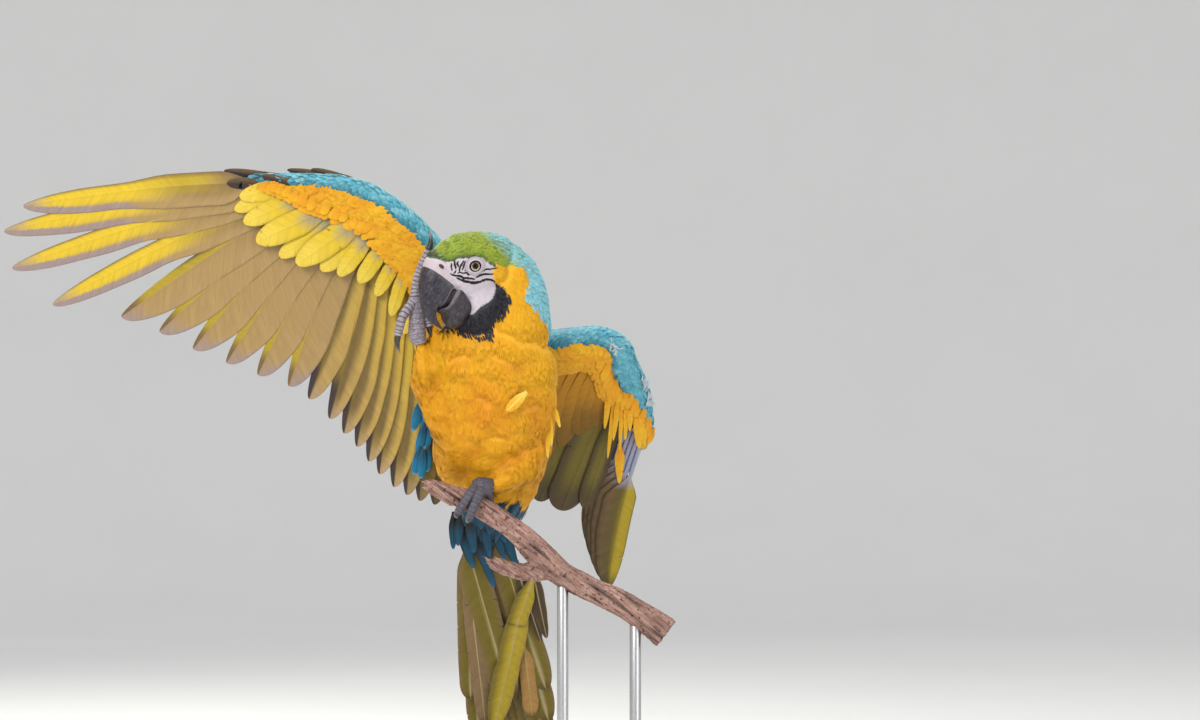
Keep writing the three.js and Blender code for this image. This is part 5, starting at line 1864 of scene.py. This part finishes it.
# ---- The bill ----
CULMEN = [[37, 16], [46, 9.5], [54, -5], [58, -20], [58.8, -34], [54.4, -47], [44.2, -58.2]]
TOMIUM = [[19.5, -16.5], [27.5, -22.8], [34, -28.8], [39, -32.6], [44.6, -34.4], [47.8, -43.5], [44, -57]]
GONYS = [[9.5, -50], [15, -57], [24, -61], [33, -60.5], [37.8, -55], [37.2, -46], [43, -39.5]]
LOWER_EDGE = [[18.8, -19.8], [25.2, -25.8], [30, -31.6], [34, -35.6], [39.4, -36.4], [44.6, -36.6]]
UPPER_WIDTH = [16.8, 16.6, 15.4, 13, 9.5, 5.5, 1.2]
LOWER_WIDTH = [18.5, 17.5, 15, 11.5, 8.5, 6]
MOUTH = stations_at(
    in_head,
    (18, 0, -20.5, 12, 7), (29, 0, -27, 11.5, 6), (37, 0, -32, 9, 4), (43, 0, -34.5, 6, 2),
)
CERE_OUTER = [[30, 19], [38.5, 18.2], [45.2, 10.6]]
CERE_INNER = [[12, -14], [17, -18], [22.2, -19.6]]
CERE_WIDTH = [17.8, 18.2, 17.4]
NOSTRIL = (32.4, 6.3)
NOSTRIL_LEAN = 0.85
NOSTRIL_RADIUS = 3.1
NOSTRIL_RIM = 0.7
NOSTRIL_SHAPE = np.array([0.7, 1.25, 0.8])
PIT_SINK = 0.8
HORN = (0.017, 0.015, 0.021)
HORN_BROWN = (0.016, 0.013, 0.013)
HORN_DEEP = (0.01, 0.008, 0.008)
HORN_GREY = (0.1, 0.09, 0.1)
HORN_WORN = (0.15, 0.125, 0.175)
HORN_EDGE = (0.36, 0.33, 0.34)
MOUTH_DARK = (0.012, 0.006, 0.005)
NOSTRIL_DARK = (0.06, 0.014, 0.014)
CERE_PALE = (0.56, 0.47, 0.5)


def keel(name, outer, inner, widths, box):
    """Half of the bill, between its outer and its cutting edge in the head's middle plane.

    `box` says how square its section is at the (outer, cutting) edge. Returns the piece, and at each vertex t
    along it and how near it is to the cutting edge.
    """
    tube = unit_tube(name, 64, 56)
    base = places_of(tube) * MM
    t = 0.5 - base[:, 2]
    angle = np.arctan2(base[:, 1], base[:, 0])
    radius = np.hypot(base[:, 0], base[:, 1])
    c, s = np.cos(angle), np.sin(angle)
    power = np.where(s > 0, box[0], box[1])
    reach = radius * (np.abs(c) ** power + np.abs(s) ** power) ** (-1 / power)
    top = spline(outer, t)
    bottom = spline(inner, t)
    across = c * reach * level(widths, t)
    profile = (top + bottom) / 2 + (s * reach)[:, None] * (top - bottom) / 2
    place_all(tube, HEAD_CENTRE + np.column_stack([profile[:, 0], across, profile[:, 1]]) @ HEAD_AXES)
    return outward(tube), t, np.where(radius > 0.5, -s * reach, 0)


def bill_finish():
    """Worn black horn: grey scratches along it, fine growth lines and paler edges."""
    look = Finish("bill_horn", Roughness=0.42, Specular_IOR_Level=0.35)
    where = look.place()
    along = look.mapped(look.mapped(where, Rotation=(0, -0.5, 0)), Scale=(1, 1, 0.3))
    scratch = look.noise(along, 620.0, 5.0, 0.75)
    cloud = look.noise(where, 150.0, 4.0)
    worn = look.ramp(scratch, (0.54, 0.0), (0.64, 1.0))
    cloudy = look.ramp(cloud, (0.35, 0.0), (0.75, 1.0))
    grey = look.ramp(worn * 0.55 + cloudy * 0.25, (0.0, (0, 0, 0)), (1.0, HORN_WORN))
    look.feed("Base Color", look.mix("ADD", 1.0, look.attribute("tone"), grey))
    look.feed("Roughness", 0.4 + worn * 0.25)
    look.bump(scratch + cloud, 0.35, 0.0006)
    return look.material


def make_bill():
    horn = bill_finish()
    halves = [
        ("bill_upper", CULMEN, TOMIUM, UPPER_WIDTH, (1.9, 6), HORN, 0.7),
        ("bill_lower", GONYS, LOWER_EDGE, LOWER_WIDTH, (2.0, 5), HORN_BROWN, 0),
    ]
    for node, outer, inner, widths, box, base, grey in halves:
        piece, t, low = keel(node + "_horn", outer, inner, widths, box)
        seen = to_head(places_of(piece))
        edge = ease(0.78, 0.92, low) * ease(1.1, 0.95, low)
        side = ease(0.3, 0.8, np.abs(seen[:, 1]) / np.maximum(level(widths, t), 1))
        deep = ease(0.92, 1.0, low) * (1 - side)
        root = ease(0.2, 0.08, t) * grey
        paint(piece, layered(base, (HORN_EDGE, edge * side * 0.55), (HORN_GREY, root), (HORN_DEEP, deep)))
        finish(piece, horn, "bill", node)
    mouth = loft("mouth_lining", MOUTH, HEAD_LEFT, around=24, rings=16)
    paint(mouth, MOUTH_DARK)
    finish(mouth, horn, "bill", "bill_lower")


def torus(name, major, minor, around, across):
    """A ring, in millimetres, with so many steps around it and across its section."""
    sizes = dict(major_radius=major * MM, minor_radius=minor * MM)
    sizes.update(major_segments=around, minor_segments=across)
    return primitive(bpy.ops.mesh.primitive_torus_add, name, **sizes)


def ball(name, radius, around, rings):
    """A sphere of a radius in millimetres."""
    sizes = dict(segments=around, ring_count=rings, radius=radius * MM)
    return primitive(bpy.ops.mesh.primitive_uv_sphere_add, name, **sizes)


def make_cere(bare_skin):
    """The swollen bare skin over the root of the upper bill, with a nostril in each side."""
    cere, t, _ = keel("cere", CERE_OUTER, CERE_INNER, CERE_WIDTH, (1.9, 6))
    paint(cere, blend(FACE_WHITE, CERE_PALE, ease(0.3, 0.8, t)))
    finish(cere, bare_skin, "plumage_green", "head")
    for name, side in SIDES.items():
        points, ways, _ = on_side(places_of(cere), normals_of(cere), [NOSTRIL], side)
        c, s = math.cos(side * NOSTRIL_LEAN), math.sin(side * NOSTRIL_LEAN)
        lean = np.array([[c, s, 0], [-s, c, 0], [0, 0, 1]])
        ring = torus("ring", NOSTRIL_RADIUS, NOSTRIL_RIM, 40, 14)
        pit = ball("pit", NOSTRIL_RADIUS, 24, 12)
        for part, sink, colour in ((ring, 0, CERE_PALE), (pit, PIT_SINK, NOSTRIL_DARK)):
            shape = turned(places_of(part) * NOSTRIL_SHAPE @ lean, ways[0])
            place_all(part, shape + points[0] - ways[0] * sink)
            paint(part, colour)
            part.data.shade_smooth()
        finish(joined(f"nostril_{name}", [ring, pit]), bare_skin, "plumage_green", "head")


# ---- Eyes and lids ----
EYE_RADIUS = 8.8
EYE_OUT = 21.7
EYE_TURN = 0.24
EYE_PLACE = (-0.8, -2.9)
CORNEA = 0.5
# The colours of an eye from its middle outwards, at shares of its radius: pupil, iris, straw ring and rim.
EYE_RINGS = [
    (0.0, (0.002, 0.002, 0.002)),
    (0.15, (0.003, 0.002, 0.002)),
    (0.22, (0.035, 0.015, 0.007)),
    (0.36, (0.05, 0.024, 0.012)),
    (0.39, (0.5, 0.43, 0.27)),
    (0.49, (0.66, 0.6, 0.45)),
    (0.53, (0.03, 0.02, 0.018)),
    (0.7, (0.012, 0.01, 0.01)),
]


def eye_axis(side):
    """The way an eye looks. `side` is 1 for the left eye and -1 for the right."""
    return unit(HEAD_FORWARD * EYE_TURN + HEAD_LEFT * side)


def eye_finish(name, centre, axis):
    """A wet eye: dark pupil, brown then straw-coloured iris, and a dark rim, shaded from above."""
    look = Finish(name, Roughness=0.1, Specular_IOR_Level=0.15, Coat_Weight=0.12, Coat_Roughness=0.02)
    where = look.vector("SUBTRACT", 0, look.place(), centre * MM)
    depth = look.vector("DOT_PRODUCT", 1, where, axis)
    reach = look.vector("LENGTH", 1, where)
    off = (abs(reach * reach - depth * depth)) ** 0.5
    streaks = look.noise(where, 1500.0, 2.0)
    iris = look.ramp(off * (1 / (EYE_RADIUS * MM)) + (streaks - 0.5) * 0.03, *EYE_RINGS)
    rise = look.vector("DOT_PRODUCT", 1, where, HEAD_UP)
    # Painted shade: the eye darkens towards its top, where the upper lid shades it, and brightens towards its
    # bottom.
    look.shade(iris, 0.62 - rise * 125.0)
    return look.material


def make_eyes(bare_skin):
    for name, side in SIDES.items():
        centre = in_head(EYE_PLACE[0], side * EYE_OUT, EYE_PLACE[1])
        axis = eye_axis(side)
        eye = ball(f"eyeball_{name}", EYE_RADIUS, 48, 32)
        points = places_of(eye)
        cornea = CORNEA * ease(0.8, 1, points[:, 2] / EYE_RADIUS)
        points = points * (1 + cornea / EYE_RADIUS)[:, None]
        place_all(eye, turned(points, axis) + centre)
        eye.data.shade_smooth()
        finish(eye, eye_finish(f"eye_{name}_look", centre, axis), "eye", f"eye_{name}")
        make_lids(name, centre, axis, bare_skin)


# Rings of lid round an eye: radius, thickness, and how far out along the way it looks.
LIDS = [(6.4, 1.05, 6.6), (7.9, 0.8, 5.85), (9.2, 0.65, 5.25)]
LID_OVAL = np.array([1.1, 1.0, 1])
LID_DARK = (0.035, 0.025, 0.028)
LID_WAVE = 0.14
LID_CREASE = 0.07
LID_SLOPE = 0.5


def make_lids(name, centre, axis, bare_skin):
    """Creased lids round an eye, with a dark inner margin against the ball."""
    up = unit(HEAD_UP - np.dot(HEAD_UP, axis) * axis)
    frame_of = np.stack([np.cross(up, axis), up, axis])
    rings = []
    for i, (radius, thick, out) in enumerate(LIDS):
        ring = torus("lid", radius, thick, 96, 16)
        points = places_of(ring)
        angle = np.arctan2(points[:, 1], points[:, 0])
        off = np.hypot(points[:, 0], points[:, 1])
        points[:, 2] += LID_WAVE * np.sin(5 * angle + 2 * i) + LID_CREASE * np.sin(angle * 26 + i)
        points[:, 2] -= LID_SLOPE * ease(radius, radius + thick, off) * thick
        tone = blend(FACE_WHITE, LID_DARK, 0.12 * i)
        if i == 0:
            tone = blend(LID_DARK, FACE_WHITE, ease(radius - 0.9, radius - 0.1, off))
        place_all(ring, (points * LID_OVAL) @ frame_of + centre + axis * out)
        ring.data.shade_smooth()
        paint(ring, tone)
        rings.append(ring)
    finish(joined(f"lids_{name}", rings), bare_skin, "plumage_green", "head")


# ---- Legs, feet and claws ----
TOE_RADIUS = 5.4
CLAW_LENGTH = 17
BRANCH_DEPTH = -46
GRIP_AXIS = unit([0.93, 0, -0.37])
GRIP_UP = unit([0.37, 0, 0.93])
GRIP_CENTRE = at(-27, BRANCH_DEPTH, -3.5)
CLAW_GRIP = 11.5 + TOE_RADIUS + 0.3
# Each toe of the gripping foot: how far round the branch it goes, in degrees, and its ends along the branch.
LEFT_TOES = [(152, (1, 1)), (140, (-4, -12)), (-104, (6, 20)), (-72, (-2, -9))]
TOE_POINTS = 6
TOE_TAPER = 0.22
TARSUS_LEFT = stations_at(
    at,
    (-8, -37, 16, 7, 7), (-14, -42, 15, 9, 9), (-20, -46, 14, 10.5, 10), (-27, -47, 12.5, 8.5, 8),
)
TARSUS_RIGHT = stations_at(
    at,
    (-83, -45, 164, 7, 7), (-86, -46, 174, 9.5, 9), (-87, -46, 190, 8, 8), (-88, -45, 204, 8.5, 8.5),
    (-88, -45, 213, 7, 7),
)
RIGHT_TOES = [
    [[-88, -45, 209], [-88, -44, 222], [-85, -44, 236], [-80, -45, 249], [-74, -46, 262]],
    [[-89, -48, 208], [-95, -53, 201], [-101, -57, 191], [-104, -58, 180], [-106, -58, 172]],
    [[-86, -44, 208], [-80, -41, 200], [-76, -40, 189], [-74, -41, 181]],
    [[-86, -42, 210], [-78, -37, 216], [-71, -34, 219]],
]
RIGHT_BENDS = [[-0.5, 0, 0.95], [0.6, 0.3, -0.6], [0.7, 0.2, -0.2], [0.2, 0.2, 0.9]]
SCUTE = 4.2
SHANK_SHARE = 0.35
FOOT_PALE = (0.56, 0.5, 0.58)
FOOT_GREY = (0.165, 0.15, 0.195)
FOOT_DARK = (0.05, 0.04, 0.05)
FOOT_MOTTLE = (0.13, 0.1, 0.15)
# How mottled a shank is, and a toe.
MOTTLING = (0.7, 0.15)
CLAW_SIDE = np.array([0.31, 0.2, 0.93])


def grip_point(angle, slide, radius):
    """A place on a circle round the branch."""
    way = math.cos(angle) * GRIP_UP + math.sin(angle) * np.array([0, -1.0, 0])
    return GRIP_CENTRE + way * radius + GRIP_AXIS * slide


def scaly_tube(name, stations, groove):
    """A toe or shank with ringed scutes, `groove` mm deep between them, and how many there are."""
    line = np.array([station[0] for station in stations])
    length = np.linalg.norm(np.diff(line, axis=0), axis=1).sum()
    count = max(2, round(length / SCUTE))

    def swell(t, angle):
        ring = np.abs(np.sin(math.pi * count * t)) ** 0.45
        beads = 0.16 * np.sin(angle * 9 + np.floor(t * count) * 2.4) * np.sin(math.pi * count * 3 * t)
        return groove * (ring - 0.9) + beads

    tube = loft(name, stations, CLAW_SIDE, around=30, rings=6 * count, swell=swell)
    return tube, count


def foot(name, shank, toes, tone, groove, skin_of_foot, node):
    """One foot: its shank and toes, with dark grooves, `groove` mm deep, between the scutes."""
    pieces = []
    for i, stations in enumerate([shank, *toes]):
        deep = groove if i else groove * SHANK_SHARE
        tube, count = scaly_tube(f"{name}_{i}", stations, deep)
        along = np.zeros(len(tube.data.vertices))
        unwrap = read(tube.data.uv_layers["OFBake"].uv, "vector", 2)
        along[vertex_of_corner(tube.data)] = unwrap[:, 1]
        ring = np.abs(np.sin(math.pi * count * along)) ** 0.6
        grain = ripple(places_of(tube), 5, 3 + i) * 0.09
        dark = (1 - ease(0.15, 0.75, ring)) * min(1, deep / 0.6)
        mottled = ease(-0.3, 0.6, ripple(places_of(tube), 1.6, 21)) * MOTTLING[i > 0]
        paint(tube, layered(tone, (FOOT_MOTTLE, mottled), (FOOT_DARK, dark)) * (1 + grain)[:, None])
        pieces.append(tube)
    return finish(joined(name, pieces), skin_of_foot, "foot", node)


def foot_finish():
    """Granular grey skin, dark in its creases."""
    look = Finish("foot_skin", Roughness=0.6)
    where = look.place()
    beads = look.node("ShaderNodeTexVoronoi", Vector=where, Scale=700.0)
    look.shade(look.attribute("tone"), look.ramp(beads, (0.1, 1.0), (0.65, 0.5)))
    look.bump(1.0 - beads + look.noise(where, 300.0) * 0.5, 0.7, 0.0005)
    return look.material


def claw_finish():
    """Black horn with paler streaks, over the tone of each claw, which pales towards its tip."""
    look = Finish("claw_horn", Roughness=0.3, Coat_Weight=0.2, Coat_Roughness=0.2)
    streak = look.noise(look.place(), 500.0, 3.0)
    look.shade(look.attribute("tone"), look.ramp(streak, (0.3, 0.7), (0.8, 1.6)))
    look.bump(streak, 0.2, 0.0004)
    return look.material


def toe_stations(points):
    """Toe points with a radius that thins towards the claw."""
    last = len(points) - 1
    sizes = [TOE_RADIUS * (1 - TOE_TAPER * i / last) for i in range(len(points))]
    return [(np.asarray(p, float), r, r) for p, r in zip(points, sizes, strict=True)]


# Along a claw, from 0 to 1: its half width and half depth there.
CLAW_SIZES = [(0, 3.4, 3.6), (0.35, 2.8, 3), (0.7, 1.8, 2), (1, 0.5, 0.6)]
CLAW_BEND = 0.55
CLAW_BLACK = (0.03, 0.028, 0.03)
CLAW_TIP = (0.3, 0.27, 0.26)


def claw(name, root, way, bend, horn, node):
    """A curved, tapering claw."""
    stations = []
    for t, wide, deep in CLAW_SIZES:
        place = root + (way * t * (1 - 0.25 * t) + bend * CLAW_BEND * t * t) * CLAW_LENGTH
        stations.append((place, wide, deep))
    piece = loft(name, stations, CLAW_SIDE, around=20, rings=20)
    off = np.linalg.norm(places_of(piece) - root, axis=1) / CLAW_LENGTH
    paint(piece, blend(CLAW_BLACK, CLAW_TIP, ease(0.55, 1.0, off) * 0.6))
    return finish(piece, horn, "bill", node)


def make_feet():
    skin_of_foot = foot_finish()
    horn = claw_finish()
    steps = np.linspace(0, 1, TOE_POINTS)
    left = [
        [grip_point(math.radians(sweep * t), start + (end - start) * t, CLAW_GRIP) for t in steps]
        for sweep, (start, end) in LEFT_TOES
    ]
    right = [[at(*point) for point in toe] for toe in RIGHT_TOES]
    inward = [unit(GRIP_CENTRE - toe[-1]) for toe in left]
    for side, shank, toes, tone, groove in (
        ("left", TARSUS_LEFT, left, FOOT_GREY, 0.4),
        ("right", TARSUS_RIGHT, right, FOOT_PALE, 0.75),
    ):
        node = f"foot_{side}"
        foot(node + "_skin", shank, [toe_stations(toe) for toe in toes], tone, groove, skin_of_foot, node)
    for side, toes, bends in (("left", left, inward), ("right", right, RIGHT_BENDS)):
        for i, (toe, bend) in enumerate(zip(toes, bends, strict=True)):
            way = unit(toe[-1] - toe[-2])
            name = f"claw_horn_{side}_{i + 1}"
            claw(name, toe[-1] + way * 0.4, way, np.array(bend), horn, f"claw_{side}_{i + 1}")


# ---- The branch and its stand ----
# Places of the branch and of its stub: x, z, radius and y.
BRANCH = [(-73, 15, 8, -46), (-53, 7, 10.5, -46), (-28, -3, 11.5, -46), (0, -19, 12, -46)]
BRANCH += [(21, -36, 13, -46), (42, -56, 15, -45), (65, -77, 14.5, -44), (95, -93, 13, -46)]
BRANCH += [(126, -107, 14, -46), (158, -127, 16, -46), (174, -139, 17, -46)]
STUB = [(50, -72, 12, -46), (30, -75, 10, -46), (10, -72, 8.5, -49), (-8, -64, 7, -52)]
BARK = (0.3, 0.155, 0.12)
BARK_PALE = (0.52, 0.32, 0.26)
BARK_DARK = (0.09, 0.04, 0.032)
BARK_VOXEL = 1.3
BARK_DEPTH = 0.6
# The lengths of the splinters round an end, as shares of its radius, and how far apart they turn.
SPLINTERS = (1.9, 1.4, 2.3, 1.1, 1.7, 1.3)
SPLINTER_TURN = 1.1
LIMB_WAY = unit([0.8, 0, -0.6])
LIMB_UP = unit([0.6, 0, 0.8])
BASE_SIZE = (0.32, 0.25, 0.018)
BASE_CORNER = 0.026
ROD_RADIUS = 0.006
ROD_PLACES = (0.066, 0.142)
OAK_DARK = (0.045, 0.026, 0.016)
OAK_LIGHT = (0.12, 0.07, 0.04)
STEEL_DARK = (0.5, 0.5, 0.51)
STEEL_LIGHT = (0.66, 0.66, 0.67)


def bark_finish():
    """Weathered bark: long pale fibres, dark cracks and flecks."""
    look = Finish("bark", Roughness=0.85)
    where = look.mapped(look.place(), Rotation=(0, math.radians(-38), 0))
    fibre = look.noise(look.mapped(where, Scale=(0.12, 1, 1)), 520.0, 5.0, 0.65)
    cloud = look.noise(where, 45.0, 3.0)
    flecks = look.noise(where, 260.0, 2.0)
    tone = look.mix("MIX", look.ramp(fibre, (0.4, 0.0), (0.6, 1.0)), (*BARK, 1), (*BARK_PALE, 1))
    tone = look.mix("MIX", look.ramp(cloud, (0.5, 0.0), (0.75, 0.6)), tone, (*BARK_DARK, 1))
    tone = look.mix("MIX", look.ramp(flecks, (0.57, 0.0), (0.66, 0.9)), tone, (*BARK_DARK, 1))
    look.shade(tone, look.attribute("tone"))
    look.bump(fibre + flecks * 0.6, 0.9, 0.0015)
    return look.material


def splinters(end, way, radius):
    """The splintered wood at a broken end of the branch."""
    parts = []
    for i, share in enumerate(SPLINTERS):
        turn = (i + 0.4) * SPLINTER_TURN
        length = radius * share
        off = np.array([0, math.cos(turn), math.sin(turn)]) * radius * 0.5
        root = end + off - way * length * 0.2
        stations = [
            (root, radius * 0.42, radius * 0.4),
            (root + way * length * 0.5, radius * 0.22, radius * 0.2),
            (root + way * length * 0.98, 0.4, 0.4),
        ]
        parts.append(loft("splinter", stations, (0, 1, 0), around=10, rings=8))
    return parts


def make_branch():
    """The cut branch and its broken stub, with knots, grooves and splintered ends."""
    limb, snag = ([(at(x, y, z), r, r) for x, z, r, y in line] for line in (BRANCH, STUB))
    parts = [
        loft("limb", limb, (0, 1, 0), around=40, rings=120, grow=-BARK_DEPTH),
        loft("snag", snag, (0, 1, 0), around=32, rings=40, grow=-BARK_DEPTH),
        *splinters(limb[0][0], unit([-0.93, 0, 0.37]), 8),
        *splinters(snag[3][0], unit([-0.9, -0.1, 0.4]), 7),
    ]
    piece = joined("branch_bark", parts)
    apply(piece, "REMESH", mode="VOXEL", voxel_size=BARK_VOXEL * MM)
    apply(piece, "SMOOTH", factor=0.5, iterations=4)
    points = places_of(piece)
    along, y, across = points @ LIMB_WAY, points[:, 1], points @ LIMB_UP
    ridges = ripple(np.column_stack([along * 0.16, y, across]), 6, 21)
    lumps = ripple(points, 26, 22)
    fine = ripple(points, 4.5, 23)
    cracks = ease(0.55, 0.95, ripple(np.column_stack([along * 0.09, y, across]), 9, 27))
    rise = 0.7 * ridges + 0.6 * lumps + 0.2 * fine - 1.3 * cracks
    place_all(piece, points + normals_of(piece) * rise[:, None])
    paint(piece, np.clip(0.86 + 0.26 * ridges + 0.1 * lumps - 0.6 * cracks, 0.2, 1.2)[:, None])
    piece.data.shade_smooth()
    return finish(piece, bark_finish(), "branch", "perch")


def wood_finish():
    """Dark oak with fine open grain."""
    look = Finish("dark_oak", Roughness=0.4, Coat_Weight=0.15)
    grain = look.noise(look.mapped(look.place(), Scale=(0.06, 1, 1)), 260.0, 5.0)
    broad = look.noise(look.mapped(look.place(), Scale=(0.1, 1, 1)), 28.0, 3.0)
    look.feed("Base Color", look.ramp(grain * 0.6 + broad * 0.4, (0.35, OAK_DARK), (0.62, OAK_LIGHT)))
    look.feed("Roughness", 0.34 + grain * 0.2)
    look.bump(grain, 0.3, 0.0003)
    return look.material


def steel_finish():
    """Brushed steel with fine lines round the rod."""
    look = Finish("brushed_steel", Metallic=1.0, Roughness=0.3)
    lines = look.noise(look.mapped(look.place(), Scale=(0.3, 0.3, 1)), 1800.0, 2.0)
    look.feed("Base Color", look.ramp(lines, (0.3, STEEL_DARK), (0.7, STEEL_LIGHT)))
    look.feed("Roughness", 0.24 + lines * 0.16)
    return look.material


def make_stand():
    """A flat oak base with round corners and two steel rods up to the branch."""
    place = (0, 0, BASE_SIZE[2] / 2)
    base = primitive(bpy.ops.mesh.primitive_cube_add, "stand_plate", size=1, location=place)
    base.scale = BASE_SIZE
    bpy.ops.object.transform_apply(location=True, rotation=True, scale=True)
    pick_upright(base, 0.01)
    bpy.ops.object.mode_set(mode="EDIT")
    bpy.ops.mesh.bevel(offset=BASE_CORNER, segments=12)
    bpy.ops.object.mode_set(mode="OBJECT")
    apply(base, "BEVEL", width=0.002, segments=3, limit_method="ANGLE")
    finish(base, wood_finish(), "stand_wood", "stand_base")
    steel = steel_finish()
    for i, x in enumerate(ROD_PLACES):
        low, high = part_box(f"stand_rod_{i + 1}")
        size = dict(vertices=48, radius=ROD_RADIUS, depth=high[2] - low[2])
        size["location"] = (x, BRANCH_DEPTH * MM, (low[2] + high[2]) / 2)
        rod = primitive(bpy.ops.mesh.primitive_cylinder_add, f"rod_{i + 1}", **size)
        bpy.ops.object.transform_apply(location=True, rotation=True, scale=True)
        apply(rod, "BEVEL", width=0.0006, segments=2, limit_method="ANGLE")
        rod.data.shade_smooth()
        finish(rod, steel, "stand_metal", f"stand_rod_{i + 1}")


# ---- Floor and backdrop ----
ROOM_RADIUS = 7.5
ROOM_HEIGHT = 6.0
ROOM_COVE = 2.5
ROOM_DARK = (0.78, 0.78, 0.77)
ROOM_LIGHT = (0.8, 0.8, 0.79)
COVE_STEPS = 12


def make_room():
    """A round pale floor that curves up into a wall, the same from every side."""
    profile = [(0, 0), (ROOM_RADIUS - ROOM_COVE, 0)]
    for i in range(1, COVE_STEPS + 1):
        turn = math.radians(90 * i / COVE_STEPS)
        out = ROOM_RADIUS - ROOM_COVE + math.sin(turn) * ROOM_COVE
        profile.append((out, ROOM_COVE * (1 - math.cos(turn))))
    profile.append((ROOM_RADIUS, ROOM_HEIGHT))
    mesh = bpy.data.meshes.new("room")
    mesh.from_pydata([(x, 0, z) for x, z in profile], [(i, i + 1) for i in range(len(profile) - 1)], [])
    room = edit(
        add_object("room", mesh),
        (bpy.ops.mesh.spin, dict(steps=96, angle=2 * math.pi, center=(0, 0, 0), axis=(0, 0, 1))),
        (bpy.ops.mesh.remove_doubles, dict(threshold=0.0005)),
        (bpy.ops.mesh.normals_make_consistent, dict(inside=True)),
    )
    room.data.shade_smooth()
    look = Finish("pale_room", Roughness=0.9)
    soft = look.noise(look.place(), 2.0)
    look.feed("Base Color", look.ramp(soft, (0.3, ROOM_DARK), (0.7, ROOM_LIGHT)))
    room.data.materials.append(look.material)


set_camera()
set_lights()
make_room()
plumage = plumage_finish("plumage")
flight = plumage_finish("flight_feathers", 0.5, fringed=True)
bare_skin = skin_finish()
skin = make_skin(bare_skin)
surface = Surface(skin)
body_coat(surface, plumage)
face_lines(surface, plumage)
right_wing(plumage, flight)
arm_coat("right", RIGHT, RIGHT_ARM, "wing_right", bare_skin, plumage, 31)
left_wing(plumage)
arm_coat("left", LEFT, LEFT_ARM, "wing_left", bare_skin, plumage, 32)
white_down(plumage)
tail(plumage)
body_feathers(plumage)
make_bill()
make_cere(bare_skin)
make_eyes(bare_skin)
make_feet()
make_branch()
make_stand()
